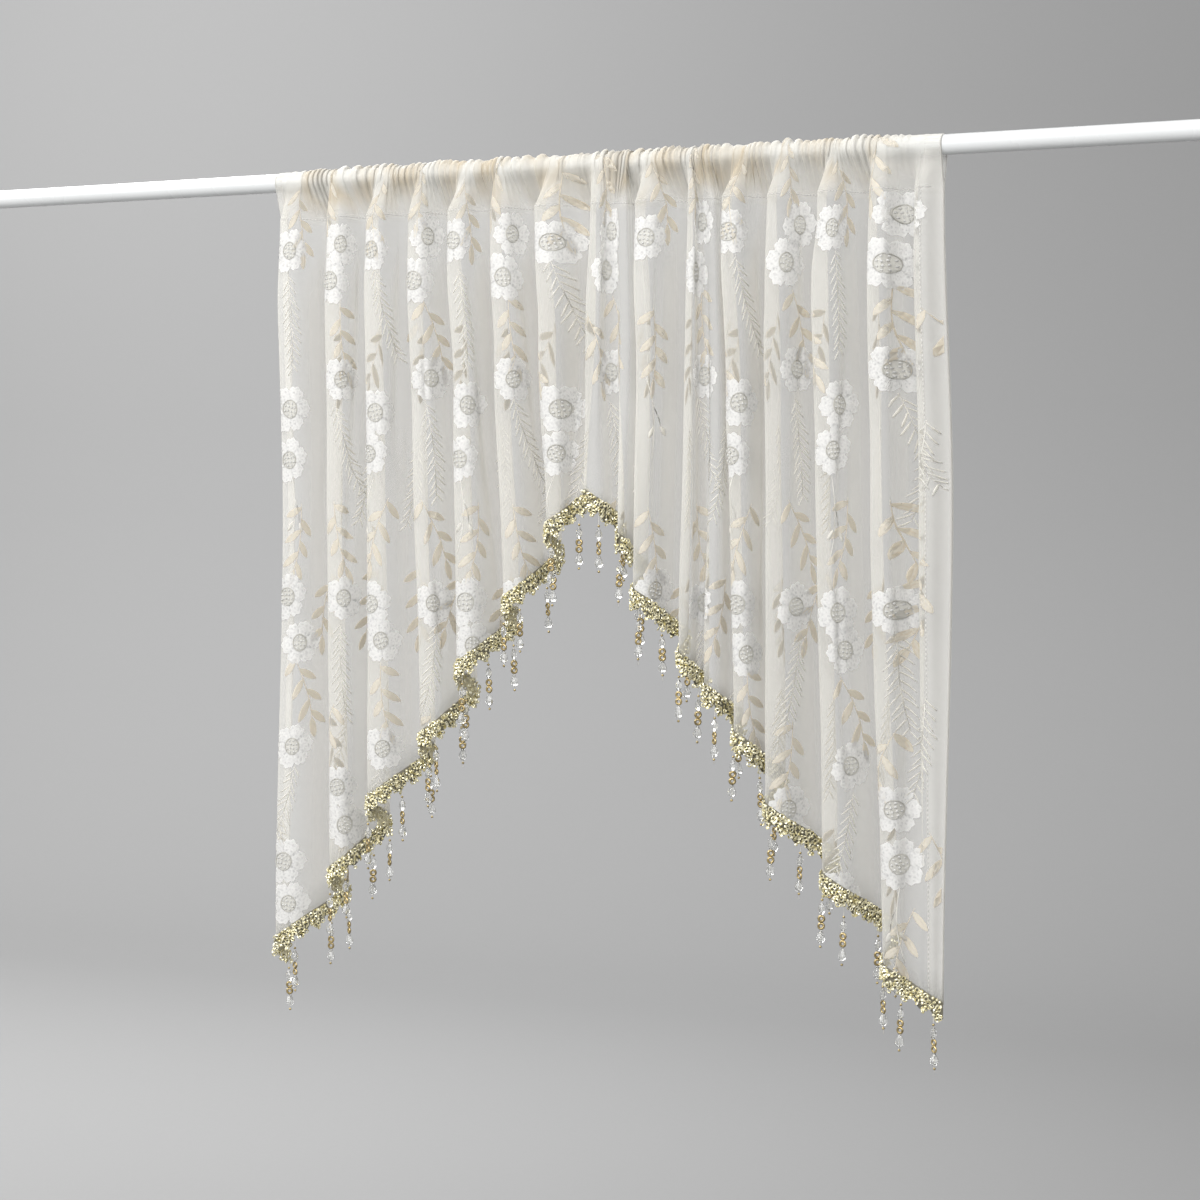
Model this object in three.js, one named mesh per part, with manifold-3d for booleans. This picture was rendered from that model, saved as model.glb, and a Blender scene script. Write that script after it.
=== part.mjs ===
// A sheer door curtain gathered on a round rod. The cloth is one sheet with a rod pocket sewn along its top
// and a hem cut to an arch; a beaded braid follows each side of the arch, with strands of beads below it.
// Millimetres. X runs along the rod from its left end, -Y is the front and Z is up from the rod's axis.
import * as THREE from "three";
import { mergeVertices } from "three/addons/utils/BufferGeometryUtils.js";
import Module from "manifold-3d";

// Rod
const ROD_LENGTH = 1820;
const ROD_DIAMETER = 24;
const ROD_SIDES = 48;

// Cloth, with drops measured down from the rod's axis
const CLOTH_THICKNESS = 1.4;
const SIDE_DROP = 1000;
const PEAK_DROP = 400;
const STITCH_DROP = 48;
const CURTAIN_MIDDLE = ROD_LENGTH / 2;

// Rod pocket: the cloth clears the rod where it rests and lifts off it at each pucker
const ROD_CLEARANCE = 0.4;
const POCKET_FROM = -22;
const POCKET_TO = 202;
const POCKET_STEPS = 7;
const TUNNEL_RISE = 3;
const PUCKERS_PER_FOLD = 2;
const PUCKER_LIFT = 5;
const PUCKER_SWAY = 6;
const SMOOTH_END = 45;

// How the folds open below the pocket
const FOLD_AT_STITCH = 0.25;
const FOLD_OPENS_OVER = 190;
const PUCKER_FADES_OVER = 130;
const FLANK_CURL = 4;
const FULL_CURL_PITCH = 60;
const LEVEL_AS_TABLED = 0.4;

// One row for each fold, from the left, with its shape a little above half height and again at the hem.
// crest: from the curtain's middle to the fold's crest, along X
// top, hem: how far right of that the crest sits at the pocket and at the hem
// left: from the valley on its left to the crest, along X
// front, hemFront: how far the crest stands before the rod's axis
// back, hemBack: how far the valley on its left lies behind the rod's axis
const FOLDS = [
  { crest: -421, top: -8, hem: -11, left: 14, front: 18, back: 4, hemFront: 20, hemBack: 2 },
  { crest: -352, top: -4, hem: 4, left: 20, front: 23, back: 24, hemFront: 28, hemBack: 29 },
  { crest: -292, top: -6, hem: 3, left: 19, front: 25, back: 25, hemFront: 31, hemBack: 31 },
  { crest: -229, top: -10, hem: 11, left: 16, front: 22, back: 21, hemFront: 22, hemBack: 20 },
  { crest: -168, top: -13, hem: 7, left: 20, front: 26, back: 27, hemFront: 31, hemBack: 32 },
  { crest: -111, top: -11, hem: 12, left: 17, front: 22, back: 21, hemFront: 24, hemBack: 22 },
  { crest: -47, top: -12, hem: 9, left: 20, front: 27, back: 26, hemFront: 31, hemBack: 31 },
  { crest: 13, top: 3, hem: -4, left: 20, front: 24, back: 20, hemFront: 16, hemBack: -6 },
  { crest: 49, top: -2, hem: 3, left: 14, front: 3, back: -4, hemFront: 22, hemBack: 14 },
  { crest: 83, top: -6, hem: -3, left: 20, front: 26, back: 26, hemFront: 29, hemBack: 28 },
  { crest: 142, top: 2, hem: -7, left: 18, front: 24, back: 24, hemFront: 24, hemBack: 26 },
  { crest: 168, top: -4, hem: -4, left: 12, front: 2, back: -6, hemFront: 12, hemBack: 6 },
  { crest: 202, top: -12, hem: 6, left: 19, front: 25, back: 25, hemFront: 20, hemBack: 22 },
  { crest: 251, top: -5, hem: 3, left: 16, front: 22, back: 22, hemFront: 32, hemBack: 34 },
  { crest: 315, top: -4, hem: 10, left: 18, front: 25, back: 24, hemFront: 22, hemBack: 24 },
  { crest: 383, top: -7, hem: 18, left: 20, front: 27, back: 25, hemFront: 36, hemBack: 38 },
  { crest: 437, top: -10, hem: 8, left: 15, front: 15, back: 16, hemFront: 20, hemBack: -22 },
];
const RIGHT_EDGE = { crest: 481, top: -12, hem: -4, left: 15, back: 2, hemBack: -14 };

// Where the arch peaks: a place counts folds from the left edge, such as 7.5 for the crest of the eighth fold
const PEAK_PLACE = 7.375;

// Fineness of the mesh
const COLUMNS_PER_FOLD = 8;
const HANGING_ROWS = 8;
const ROW_CROWDING = 1.5;
const ARC_STEPS = 64;
const NORMAL_STEP = 0.01;
const MERGE_DISTANCE = 0.001;

// Braid along the hem, and the strands of beads sewn to it
const BRAID_HEIGHT = 21;
const BRAID_THICKNESS = 4;
const PIECE_GAP = 0.7;
const STRAND_PITCH = 40;
const STRAND_EDGE = 14;
const STRAND_SIDES = 4;
const STRAND_ROOT = 6;

// Section of the braid, up from its lower edge to the thin lip that is sewn to the hem
const BRAID_SECTION = [
  { down: BRAID_HEIGHT, thick: BRAID_THICKNESS },
  { down: 5, thick: BRAID_THICKNESS },
  { down: PIECE_GAP, thick: CLOTH_THICKNESS },
];

// Outline of a strand, down from the braid's lower edge
const STRAND_PROFILE = [
  { down: -STRAND_ROOT, radius: 1 },
  { down: 12, radius: 1 },
  { down: 20, radius: 3.4 },
  { down: 29, radius: 1.2 },
  { down: 35, radius: 4 },
  { down: 39, radius: 1.6 },
  { down: 44, radius: 4 },
  { down: 48, radius: 1.4 },
  { down: 59, radius: 4.6 },
  { down: 67, radius: 1 },
  { down: 72, radius: 1 },
];

const lerp = THREE.MathUtils.lerp;
const ease = (value) => THREE.MathUtils.smoothstep(value, 0, 1);

// A point of the cloth's middle surface seen from above: t runs from the valley on the fold's left to the next one
function planPoint(fold, t, level, open, sway) {
  const row = FOLDS[fold];
  const next = FOLDS[fold + 1] ?? RIGHT_EDGE;
  const low = lowShare(level);
  const rise = (1 - Math.cos(2 * Math.PI * t)) / 2;
  const valley = crestAt(row, level) - row.left;
  const pitch = crestAt(next, level) - next.left - valley;
  const skew = row.left - pitch / 2;
  const curl = FLANK_CURL * Math.min(pitch / FULL_CURL_PITCH, 1) * Math.sin(4 * Math.PI * t);
  const beside = t < 0.5 ? row : next;
  const back = lerp(beside.back, beside.hemBack, low);
  const front = lerp(row.front, row.hemFront, low);
  return {
    x: CURTAIN_MIDDLE + valley + pitch * t + (skew * rise + curl) * open,
    y: lerp(back, -front, rise) * open - sway * (puckerAt(t) - 0.5),
  };
}

function lowShare(level) {
  return ease((level - LEVEL_AS_TABLED) / (1 - LEVEL_AS_TABLED));
}

function crestAt(row, level) {
  return row.crest + row.top * (1 - ease(level / LEVEL_AS_TABLED)) + row.hem * lowShare(level);
}

function puckerAt(t) {
  return (1 - Math.cos(2 * Math.PI * PUCKERS_PER_FOLD * t)) / 2;
}

// Flat distance across the cloth to each point of the folds at the hem, from the left edge
const arcs = [0];
for (let step = 1; step <= FOLDS.length * ARC_STEPS; step++) {
  const before = hemPoint((step - 1) / ARC_STEPS);
  const after = hemPoint(step / ARC_STEPS);
  arcs.push(arcs[step - 1] + Math.hypot(after.x - before.x, after.y - before.y));
}
const FLAT_WIDTH = arcs[arcs.length - 1];

function hemPoint(place) {
  const fold = Math.min(Math.floor(place), FOLDS.length - 1);
  return planPoint(fold, place - fold, 1, 1, 0);
}

function flatAt(place) {
  const step = Math.min(Math.floor(place * ARC_STEPS), arcs.length - 2);
  return lerp(arcs[step], arcs[step + 1], place * ARC_STEPS - step);
}

function placeAt(flat) {
  const step = Math.max(arcs.findIndex((arc) => arc > flat), 1);
  return (step - (arcs[step] - flat) / (arcs[step] - arcs[step - 1])) / ARC_STEPS;
}

// The hem falls evenly from the peak of the arch to each side edge
function hemDrop(place) {
  const peak = flatAt(PEAK_PLACE);
  const flat = flatAt(place);
  const side = flat < peak ? peak : FLAT_WIDTH - peak;
  return lerp(PEAK_DROP, SIDE_DROP, Math.abs(flat - peak) / side);
}

// Puckers die out where the cloth lies smooth on the rod beside each edge
function gatherAt(place) {
  const flat = flatAt(place);
  return ease(Math.min(flat, FLAT_WIDTH - flat) / (2 * SMOOTH_END));
}

// The middle surface and its level normal at a place and a drop
function clothPoint(place, drop) {
  const fold = Math.min(Math.floor(place), FOLDS.length - 1);
  const below = drop - STITCH_DROP;
  const level = THREE.MathUtils.clamp(below / (hemDrop(place) - STITCH_DROP), 0, 1);
  const open = lerp(FOLD_AT_STITCH, 1, ease(below / FOLD_OPENS_OVER));
  const sway = PUCKER_SWAY * gatherAt(place) * (1 - ease(below / PUCKER_FADES_OVER));
  const t = place - fold;
  const from = planPoint(fold, Math.max(t - NORMAL_STEP, 0), level, open, sway);
  const to = planPoint(fold, Math.min(t + NORMAL_STEP, 1), level, open, sway);
  const run = Math.hypot(to.x - from.x, to.y - from.y);
  const normal = new THREE.Vector3((to.y - from.y) / run, -(to.x - from.x) / run, 0);
  const { x, y } = planPoint(fold, t, level, open, sway);
  return { point: new THREE.Vector3(x, y, -drop), normal };
}

function offset(sample, distance) {
  return sample.point.clone().addScaledVector(sample.normal, distance);
}

// A closed section of the sheet at one place: front face up, over the rod, back face down, and the tunnel inside
function clothSection(place) {
  const hem = hemDrop(place);
  const front = [];
  const back = [];
  for (let row = 0; row <= HANGING_ROWS; row++) {
    const share = (1 - row / HANGING_ROWS) ** ROW_CROWDING;
    const sample = clothPoint(place, lerp(STITCH_DROP, hem, share));
    front.push(offset(sample, CLOTH_THICKNESS / 2));
    back.unshift(offset(sample, -CLOTH_THICKNESS / 2));
  }
  const stitch = clothPoint(place, STITCH_DROP).point;
  const turn = THREE.MathUtils.degToRad((POCKET_TO - POCKET_FROM) / (POCKET_STEPS - 2));
  const fold = Math.min(Math.floor(place), FOLDS.length - 1);
  const lift = PUCKER_LIFT * puckerAt(place - fold) * gatherAt(place);
  const inside = (ROD_DIAMETER / 2 + ROD_CLEARANCE) / Math.cos(turn / 2) + lift;
  const outside = inside + CLOTH_THICKNESS;
  const over = [];
  const tunnel = [stitch.clone().setZ(TUNNEL_RISE - STITCH_DROP)];
  for (let step = 0; step < POCKET_STEPS - 1; step++) {
    const angle = THREE.MathUtils.degToRad(POCKET_FROM) + step * turn;
    const reach = new THREE.Vector3(0, -Math.cos(angle), Math.sin(angle));
    const centre = new THREE.Vector3(stitch.x, 0, 0);
    over.push(centre.clone().addScaledVector(reach, outside));
    tunnel.push(centre.clone().addScaledVector(reach, inside));
  }
  return { loop: [...front, ...over, ...back], tunnel };
}

// Joins a row of closed sections into a skin, with quads given as corner lists
class Skin {
  constructor() {
    this.points = [];
    this.triangles = [];
  }

  addLoops(loops) {
    return loops.map((loop) => loop.map((point) => this.points.push(point) - 1));
  }

  quad(a, b, c, d) {
    this.triangles.push(a, b, c, a, c, d);
  }

  band(loops, inward) {
    for (let column = 0; column + 1 < loops.length; column++) {
      const here = loops[column];
      const there = loops[column + 1];
      here.forEach((corner, index) => {
        const next = (index + 1) % here.length;
        const [left, right] = inward ? [here[next], there[index]] : [there[index], here[next]];
        this.quad(corner, left, there[next], right);
      });
    }
  }

  geometry() {
    const made = new THREE.BufferGeometry().setFromPoints(this.points);
    made.setIndex(this.triangles);
    made.computeVertexNormals();
    return made;
  }
}

function curtainGeometry() {
  const skin = new Skin();
  const sections = [];
  for (let column = 0; column <= FOLDS.length * COLUMNS_PER_FOLD; column++) {
    sections.push(clothSection(column / COLUMNS_PER_FOLD));
  }
  const loops = skin.addLoops(sections.map((section) => section.loop));
  const tunnels = skin.addLoops(sections.map((section) => section.tunnel));
  skin.band(loops, false);
  skin.band(tunnels, true);
  for (const end of [0, sections.length - 1]) {
    closeSide(skin, loops[end], tunnels[end], end > 0);
  }
  return skin.geometry();
}

// Side edge of the sheet: rungs between its two faces, and a ring around the tunnel
function closeSide(skin, loop, tunnel, right) {
  const add = (...corners) => skin.quad(...(right ? corners.reverse() : corners));
  const last = loop.length - 1;
  for (let row = 0; row < HANGING_ROWS; row++) {
    add(loop[row], loop[row + 1], loop[last - row - 1], loop[last - row]);
  }
  for (let step = 0; step < tunnel.length; step++) {
    const outer = HANGING_ROWS + step;
    const next = (step + 1) % tunnel.length;
    add(loop[outer], loop[outer + 1], tunnel[next], tunnel[step]);
  }
  const seam = [loop[HANGING_ROWS], tunnel[0], loop[last - HANGING_ROWS]];
  skin.triangles.push(...(right ? seam.reverse() : seam));
}

// The braid carries on the cloth's folds below its hem, from one place to another
function braidGeometry(from, to) {
  const places = [from];
  for (let column = 0; column <= FOLDS.length * COLUMNS_PER_FOLD; column++) {
    const place = column / COLUMNS_PER_FOLD;
    if (place > from && place < to) places.push(place);
  }
  places.push(to);
  const skin = new Skin();
  const loops = skin.addLoops(places.map((place) => {
    const front = [];
    const back = [];
    for (const { down, thick } of BRAID_SECTION) {
      const sample = clothPoint(place, hemDrop(place) + down);
      front.push(offset(sample, thick / 2));
      back.unshift(offset(sample, -thick / 2));
    }
    return [...front, ...back];
  }));
  // Taken from the right, so that its upper edge is split into the same triangles as the hem above it
  skin.band([...loops].reverse(), true);
  const [first, last] = [loops[0], loops[loops.length - 1]];
  const far = first.length - 1;
  for (let row = 0; row + 1 < BRAID_SECTION.length; row++) {
    skin.quad(first[row], first[row + 1], first[far - row - 1], first[far - row]);
    skin.quad(last[far - row], last[far - row - 1], last[row + 1], last[row]);
  }
  return skin.geometry();
}

function strandGeometry(place) {
  const drop = hemDrop(place) + BRAID_HEIGHT;
  const { point } = clothPoint(place, drop);
  const ends = [STRAND_PROFILE[0], STRAND_PROFILE[STRAND_PROFILE.length - 1]];
  const outline = STRAND_PROFILE.map(({ down, radius }) => new THREE.Vector2(radius, -down));
  outline.unshift(new THREE.Vector2(0, -ends[0].down));
  outline.push(new THREE.Vector2(0, -ends[1].down));
  const strand = new THREE.LatheGeometry(outline.reverse(), STRAND_SIDES);
  return strand.rotateX(Math.PI / 2).translate(point.x, point.y, point.z);
}

const wasm = await Module();
wasm.setup();

// Corners that lie together are shared, so that the skin is one closed mesh
function solidOf(geometry) {
  const bare = geometry.clone();
  bare.deleteAttribute("normal");
  bare.deleteAttribute("uv");
  const { attributes, index } = mergeVertices(bare, MERGE_DISTANCE);
  return new wasm.Manifold(new wasm.Mesh({
    numProp: 3,
    vertProperties: attributes.position.array,
    triVerts: new Uint32Array(index.array),
  }));
}

function geometryOf(solid) {
  const { vertProperties, triVerts } = solid.getMesh();
  const made = new THREE.BufferGeometry();
  made.setAttribute("position", new THREE.BufferAttribute(vertProperties, 3));
  made.setIndex(new THREE.BufferAttribute(triVerts, 1));
  made.computeVertexNormals();
  return made;
}

// Strands are sewn on from the side edge inwards, each at the nearest column of the braid
function trimGeometry(from, to) {
  const first = flatAt(from);
  const last = flatAt(to);
  const outer = from === 0 ? first : last;
  const inward = from === 0 ? 1 : -1;
  const count = Math.floor((last - first - STRAND_EDGE) / STRAND_PITCH);
  let trim = solidOf(braidGeometry(from, to));
  for (let strand = 0; strand <= count; strand++) {
    const flat = outer + inward * (STRAND_EDGE + strand * STRAND_PITCH);
    const place = Math.round(placeAt(flat) * COLUMNS_PER_FOLD) / COLUMNS_PER_FOLD;
    trim = trim.add(solidOf(strandGeometry(place)));
  }
  return geometryOf(trim);
}

function material(color, roughness, metalness) {
  return new THREE.MeshStandardMaterial({ color, roughness, metalness });
}

function named(name, geometry, look) {
  const mesh = new THREE.Mesh(geometry, look);
  mesh.name = name;
  return mesh;
}

const rodShape = new THREE.CylinderGeometry(ROD_DIAMETER / 2, ROD_DIAMETER / 2, ROD_LENGTH, ROD_SIDES);
const rod = named("rod", rodShape.rotateZ(Math.PI / 2), material(0xf4f4f2, 0.25, 0));
rod.position.x = ROD_LENGTH / 2;

const peakFlat = flatAt(PEAK_PLACE);
const leftOfPeak = placeAt(peakFlat - PIECE_GAP / 2);
const rightOfPeak = placeAt(peakFlat + PIECE_GAP / 2);
const gold = () => material(0xc8b060, 0.35, 0.8);

const doorCurtain = new THREE.Group();
doorCurtain.add(
  rod,
  named("curtain", curtainGeometry(), material(0xf3f0e8, 0.8, 0)),
  named("trim_left", trimGeometry(0, leftOfPeak), gold()),
  named("trim_right", trimGeometry(rightOfPeak, FOLDS.length), gold()),
);

export default doorCurtain;
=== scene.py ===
"""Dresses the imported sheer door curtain: cloth, embroidery, beaded braid and bead strands."""

import math
import random

import bmesh
import bpy
import numpy as np
from bpy.props import FloatProperty, FloatVectorProperty, IntProperty, PointerProperty
from mathutils import Matrix, Vector


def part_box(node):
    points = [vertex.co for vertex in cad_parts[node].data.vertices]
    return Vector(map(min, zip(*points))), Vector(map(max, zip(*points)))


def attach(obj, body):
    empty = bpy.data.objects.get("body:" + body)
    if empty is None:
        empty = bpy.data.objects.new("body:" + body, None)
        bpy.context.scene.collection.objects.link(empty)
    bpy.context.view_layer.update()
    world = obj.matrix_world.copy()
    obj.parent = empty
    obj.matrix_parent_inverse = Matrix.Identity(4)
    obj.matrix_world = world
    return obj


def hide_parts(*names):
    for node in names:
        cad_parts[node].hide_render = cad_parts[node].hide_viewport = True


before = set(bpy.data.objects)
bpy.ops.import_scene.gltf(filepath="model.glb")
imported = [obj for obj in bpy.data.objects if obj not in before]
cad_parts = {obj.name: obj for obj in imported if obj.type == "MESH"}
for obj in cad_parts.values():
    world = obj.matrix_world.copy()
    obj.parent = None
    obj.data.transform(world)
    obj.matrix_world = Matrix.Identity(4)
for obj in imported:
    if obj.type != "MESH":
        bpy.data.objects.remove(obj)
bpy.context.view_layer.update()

bl_info = {
    "name": "Sheer Door Curtain",
    "version": (1, 0, 0),
    "blender": (4, 5, 0),
    "location": "View3D > Sidebar > Curtain",
    "description": "Hangs, embroiders and trims a sheer door curtain on its rod",
    "category": "Object",
}

# The rod, read from the frame
rod_low, rod_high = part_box("rod")
ROD_LENGTH = rod_high[0] - rod_low[0]
ROD_RADIUS = (rod_high[2] - rod_low[2]) / 2
CURTAIN_MIDDLE = ROD_LENGTH / 2

# Folds from left to right in millimetres: crest from the curtain's middle, its shift at the top and at
# the hem, the left flank's width, depth in front and behind, and the same two depths at the hem
FOLDS = (
    (-421, -8, -11, 14, 18, 4, 20, 2),
    (-352, -4, 4, 20, 23, 24, 28, 29),
    (-292, -6, 3, 19, 25, 25, 31, 31),
    (-229, -10, 11, 16, 22, 21, 22, 20),
    (-168, -13, 7, 20, 26, 27, 31, 32),
    (-111, -11, 12, 17, 22, 21, 24, 22),
    (-47, -12, 9, 20, 27, 26, 31, 31),
    (13, 3, -4, 20, 24, 20, 16, -6),
    (49, -2, 3, 14, 3, -4, 22, 14),
    (83, -6, -3, 20, 26, 26, 29, 28),
    (142, 2, -7, 18, 24, 24, 24, 26),
    (168, -4, -4, 12, 2, -6, 12, 6),
    (202, -12, 6, 19, 25, 25, 20, 22),
    (251, -5, 3, 16, 22, 22, 32, 34),
    (315, -4, 10, 18, 25, 24, 22, 24),
    (383, -7, 18, 20, 27, 25, 36, 38),
    (437, -10, 8, 15, 15, 16, 20, -22),
    (481, -12, -4, 15, 0, 2, 0, -14),
)
FOLD_COUNT = len(FOLDS) - 1
MM = 0.001
CREST, TOP_SHIFT, HEM_SHIFT, LEFT_FLANK, FRONT, BACK, HEM_FRONT, HEM_BACK = np.array(FOLDS).T * MM

# Where the arch peaks, counted in folds, and how the folds open below the stitching
PEAK_PLACE = 7.375
LEVEL_AS_TABLED = 0.4
FOLD_AT_STITCH = 0.78
CROWN_FAN = 0.75
FOLD_OPENS_OVER = 0.120
FLANK_CURL = 0.004
PANEL_FLATNESS = 0.30
FULL_CURL_PITCH = 0.060
ARC_STEPS = 64

# Gathers on the rod
POCKET_EASE = 0.0009
POCKET_FROM = math.radians(-22)
POCKET_TO = math.radians(202)
POCKET_LAYER_GAP = 0.0012
SEAM_ALLOWANCE = 0.008
GATHER_STARTS_OVER = 0.090
PUCKERS_PER_FOLD = 6.3
PUCKER_HEIGHT = 0.58
PUCKER_HEIGHT_VARIES = 0.50
PUCKER_SHARPNESS = 1.2
PUCKER_LEAN = 0.45
PUCKER_PINCH = 0.34
PUCKER_LIFT = 0.0058
PUCKER_SWAY = 0.0095
PUCKER_SIDESTEP = 0.0036
PUCKER_AT_STITCH = 0.20
PUCKER_SLANT = 0.010
PANEL_CALM = 0.94
CALM_FROM = math.radians(20)
CALM_UP_TO = math.radians(95)
PUCKER_KEPT_AT_TOP = 0.55
PUCKER_KEPT_AT_HEM = 0.22
PUCKER_SOFTENS_OVER = 0.7
PUCKER_FADES_OVER = 0.120
PUCKER_FADE_VARIES = 0.060
PUCKER_LIFT_VARIES = 0.30

# Soft creases: fold place, start and end below the stitching, half width in folds, depth
CREASES = (
    (0.80, 0.02, 0.42, 0.042, -0.0027),
    (1.12, 0.10, 0.70, 0.048, 0.0031),
    (1.74, 0.03, 0.50, 0.036, -0.0034),
    (2.28, 0.18, 0.66, 0.042, 0.0027),
    (2.83, 0.02, 0.34, 0.039, -0.0037),
    (3.20, 0.05, 0.58, 0.045, 0.0034),
    (3.70, 0.14, 0.62, 0.036, -0.0027),
    (4.26, 0.02, 0.30, 0.042, 0.0037),
    (4.78, 0.06, 0.52, 0.039, -0.0034),
    (5.22, 0.03, 0.46, 0.048, 0.0027),
    (5.76, 0.08, 0.50, 0.036, -0.0031),
    (6.24, 0.02, 0.36, 0.042, 0.0034),
    (6.80, 0.05, 0.40, 0.039, -0.0034),
    (7.55, 0.02, 0.34, 0.042, 0.0024),
    (9.22, 0.02, 0.30, 0.036, 0.0034),
    (9.76, 0.06, 0.44, 0.039, -0.0037),
    (10.24, 0.03, 0.38, 0.042, 0.0031),
    (10.72, 0.10, 0.50, 0.036, -0.0027),
    (12.26, 0.02, 0.34, 0.039, 0.0034),
    (12.80, 0.05, 0.56, 0.042, -0.0037),
    (13.24, 0.12, 0.62, 0.039, 0.0027),
    (13.72, 0.02, 0.40, 0.042, -0.0031),
    (14.30, 0.04, 0.60, 0.045, 0.0031),
    (14.74, 0.16, 0.74, 0.036, -0.0034),
    (15.22, 0.02, 0.44, 0.039, 0.0034),
    (15.80, 0.06, 0.66, 0.042, -0.0037),
    (16.40, 0.03, 0.50, 0.054, 0.0024),
)
CREASE_STARTS_OVER = 0.050
CREASE_ENDS_OVER = 0.090
CREASE_DRIFT = 0.10
WRINKLE_DEPTH = 0.0006

# Painted shade between the folds, in parts of a fold, and a painted bright line of denser cloth along each
# fold's left edge
CREVICE_FROM = 0.40
CREVICE_FULL = 0.20
CREVICE_RIGHT = 0.14
CREVICE_AT_STITCH = 0.60
CREVICE_NARROWS_TO = 0.35
CREVICE_OPENS = 0.36
CREVICE_VARIES = 0.28
CREVICE_FADES_ABOVE = 0.55
EDGE_AT = 0.155
EDGE_WIDE = 0.018
EDGE_VARIES = 0.35

# The cloth's grid
LEFT_COLUMNS = 455
RIGHT_COLUMNS = 492
HANGING_ROWS = 32
ROW_CROWDING = 1.45
POCKET_STRAIGHT_ROWS = 4
POCKET_ROUND_ROWS = 9
TURN_STEP = 0.004
TURN_GAP = 0.0009
LEFT_TURN_STEPS = 3
RIGHT_TURN_STEPS = 5

# Where the repeat's columns fall across the flat cloth, and which run of motifs each one has
COLUMNS = (
    (0.045, "pairs"), (0.200, "sprigs"), (0.345, "pairs"), (0.487, "sprigs"), (0.626, "pairs"),
    (0.766, "sprigs"), (0.906, "pairs"), (1.000, "sprigs"), (1.187, "sprays"), (1.330, "sprigs"),
    (1.466, "pairs"), (1.640, "sprigs"), (1.768, "pairs"), (1.932, "sprigs"),
    (0.122, "band"), (0.272, "band"), (0.416, "band"), (0.556, "band"), (0.696, "band"), (0.836, "band"),
    (0.950, "band"), (1.096, "band"), (1.258, "band"), (1.398, "band"), (1.552, "band"), (1.704, "band"),
    (1.852, "band"), (1.966, "band"),
)
# Each run's motifs with their drop below the rod's axis, the shift across and a tilt in degrees
RUNS = {
    "pairs": (
        ("spray", 0.004, 0.006, 8), ("flower", 0.090, -0.002, 0), ("sprig", 0.118, 0.002, 4),
        ("bloom", 0.296, 0.004, 0), ("flower", 0.356, -0.005, 20), ("stem", 0.380, -0.003, 0),
        ("spray", 0.412, 0.020, -12), ("bloom", 0.540, -0.004, 10), ("flower", 0.592, 0.012, 0),
        ("spray", 0.616, 0.006, 10), ("flower", 0.728, 0.010, 15), ("sprig", 0.756, 0.012, -4),
        ("bloom", 0.880, -0.008, 5), ("flower", 0.936, 0.004, 0),
    ),
    "sprigs": (
        ("spray", -0.030, -0.008, -6), ("flower", 0.080, 0.010, 10), ("bloom", 0.133, -0.008, 0),
        ("spray", 0.158, 0.004, 14), ("flower", 0.258, 0.006, 0), ("sprig", 0.286, 0.000, 7),
        ("spray", 0.412, -0.006, 16), ("flower", 0.538, 0.004, 25), ("sprig", 0.566, 0.004, 3),
        ("spray", 0.676, -0.004, -10), ("flower", 0.776, -0.006, 0), ("bloom", 0.832, 0.004, 12),
        ("stem", 0.856, 0.002, 0), ("spray", 0.884, 0.014, -12),
    ),
    "band": (
        ("spray", 0.186, 0.004, 18), ("sprig", 0.320, 0.000, -6),
        ("spray", 0.500, -0.006, -14), ("sprig", 0.640, 0.004, 5), ("spray", 0.800, 0.004, 12),
    ),
    "sprays": (
        ("spray", -0.010, 0.004, 10), ("flower", 0.096, -0.014, 0), ("spray", 0.176, 0.000, -12),
        ("stem", 0.262, -0.008, 0), ("spray", 0.420, -0.006, 8), ("flower", 0.520, 0.004, 0),
    ),
}
MOTIF_REACH = {"flower": 0.032, "bloom": 0.034, "sprig": 0.115, "spray": 0.115, "stem": 0.115}
MOTIF_WANDER = 0.004
MOTIF_TURN = 7.0
SIDE_MARGIN = 0.004
HEM_MARGIN = 0.002

# Stitching stands proud of both faces of the cloth
STITCH_BELOW = 0.00045
STITCH_RIM = 0.00035
STITCH_END = 0.15
STITCH_PITCH = 0.0010
UNDERSIDE_SLOPE = -0.5
STROKE_HEIGHT = 0.0011
STROKE_LIFT = 0.0001
STROKE_END = 0.55
STROKE_SIDES = 6

# Points closer than this are one, copies are joined in groups, and all chance starts from the seed
SAME_PLACE = 0.00001
COPIES_IN_GROUP = 30
SEED = 20

# A flower: shares of its radius, then heights and knots in metres
FLOWER_OPENING = 0.34
FLOWER_UNEVEN = 0.05
LOBE_ROOT = 0.77
LOBE_TIP = 0.21
LOBE_RUFFLE = 0.04
LOBE_ROUNDNESS = 0.7
MIDDLE_SIZE = 0.80
RING_AT = 0.37
LOBE_SWELL = 0.0002
RIM_CURL = 0.0001
MIDDLE_CROWN = 0.0002
RING_TUBE = 0.0005
RING_LIFT = 0.0008
KNOT_LIFT = 0.0010
KNOT_FLATNESS = 0.6
# Rings of knots: how many, the share of the radius and a knot's size
KNOT_RINGS = ((8, 0.27, 0.0030), (4, 0.12, 0.0032))
LACE_CELLS = (72, 4)
LACE_ROUND = 0.12
LACE_DEEP = 0.010
LACE_CELL = 0.0050
NET_CELL = 0.0044
NET_STITCH = 0.0014

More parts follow.
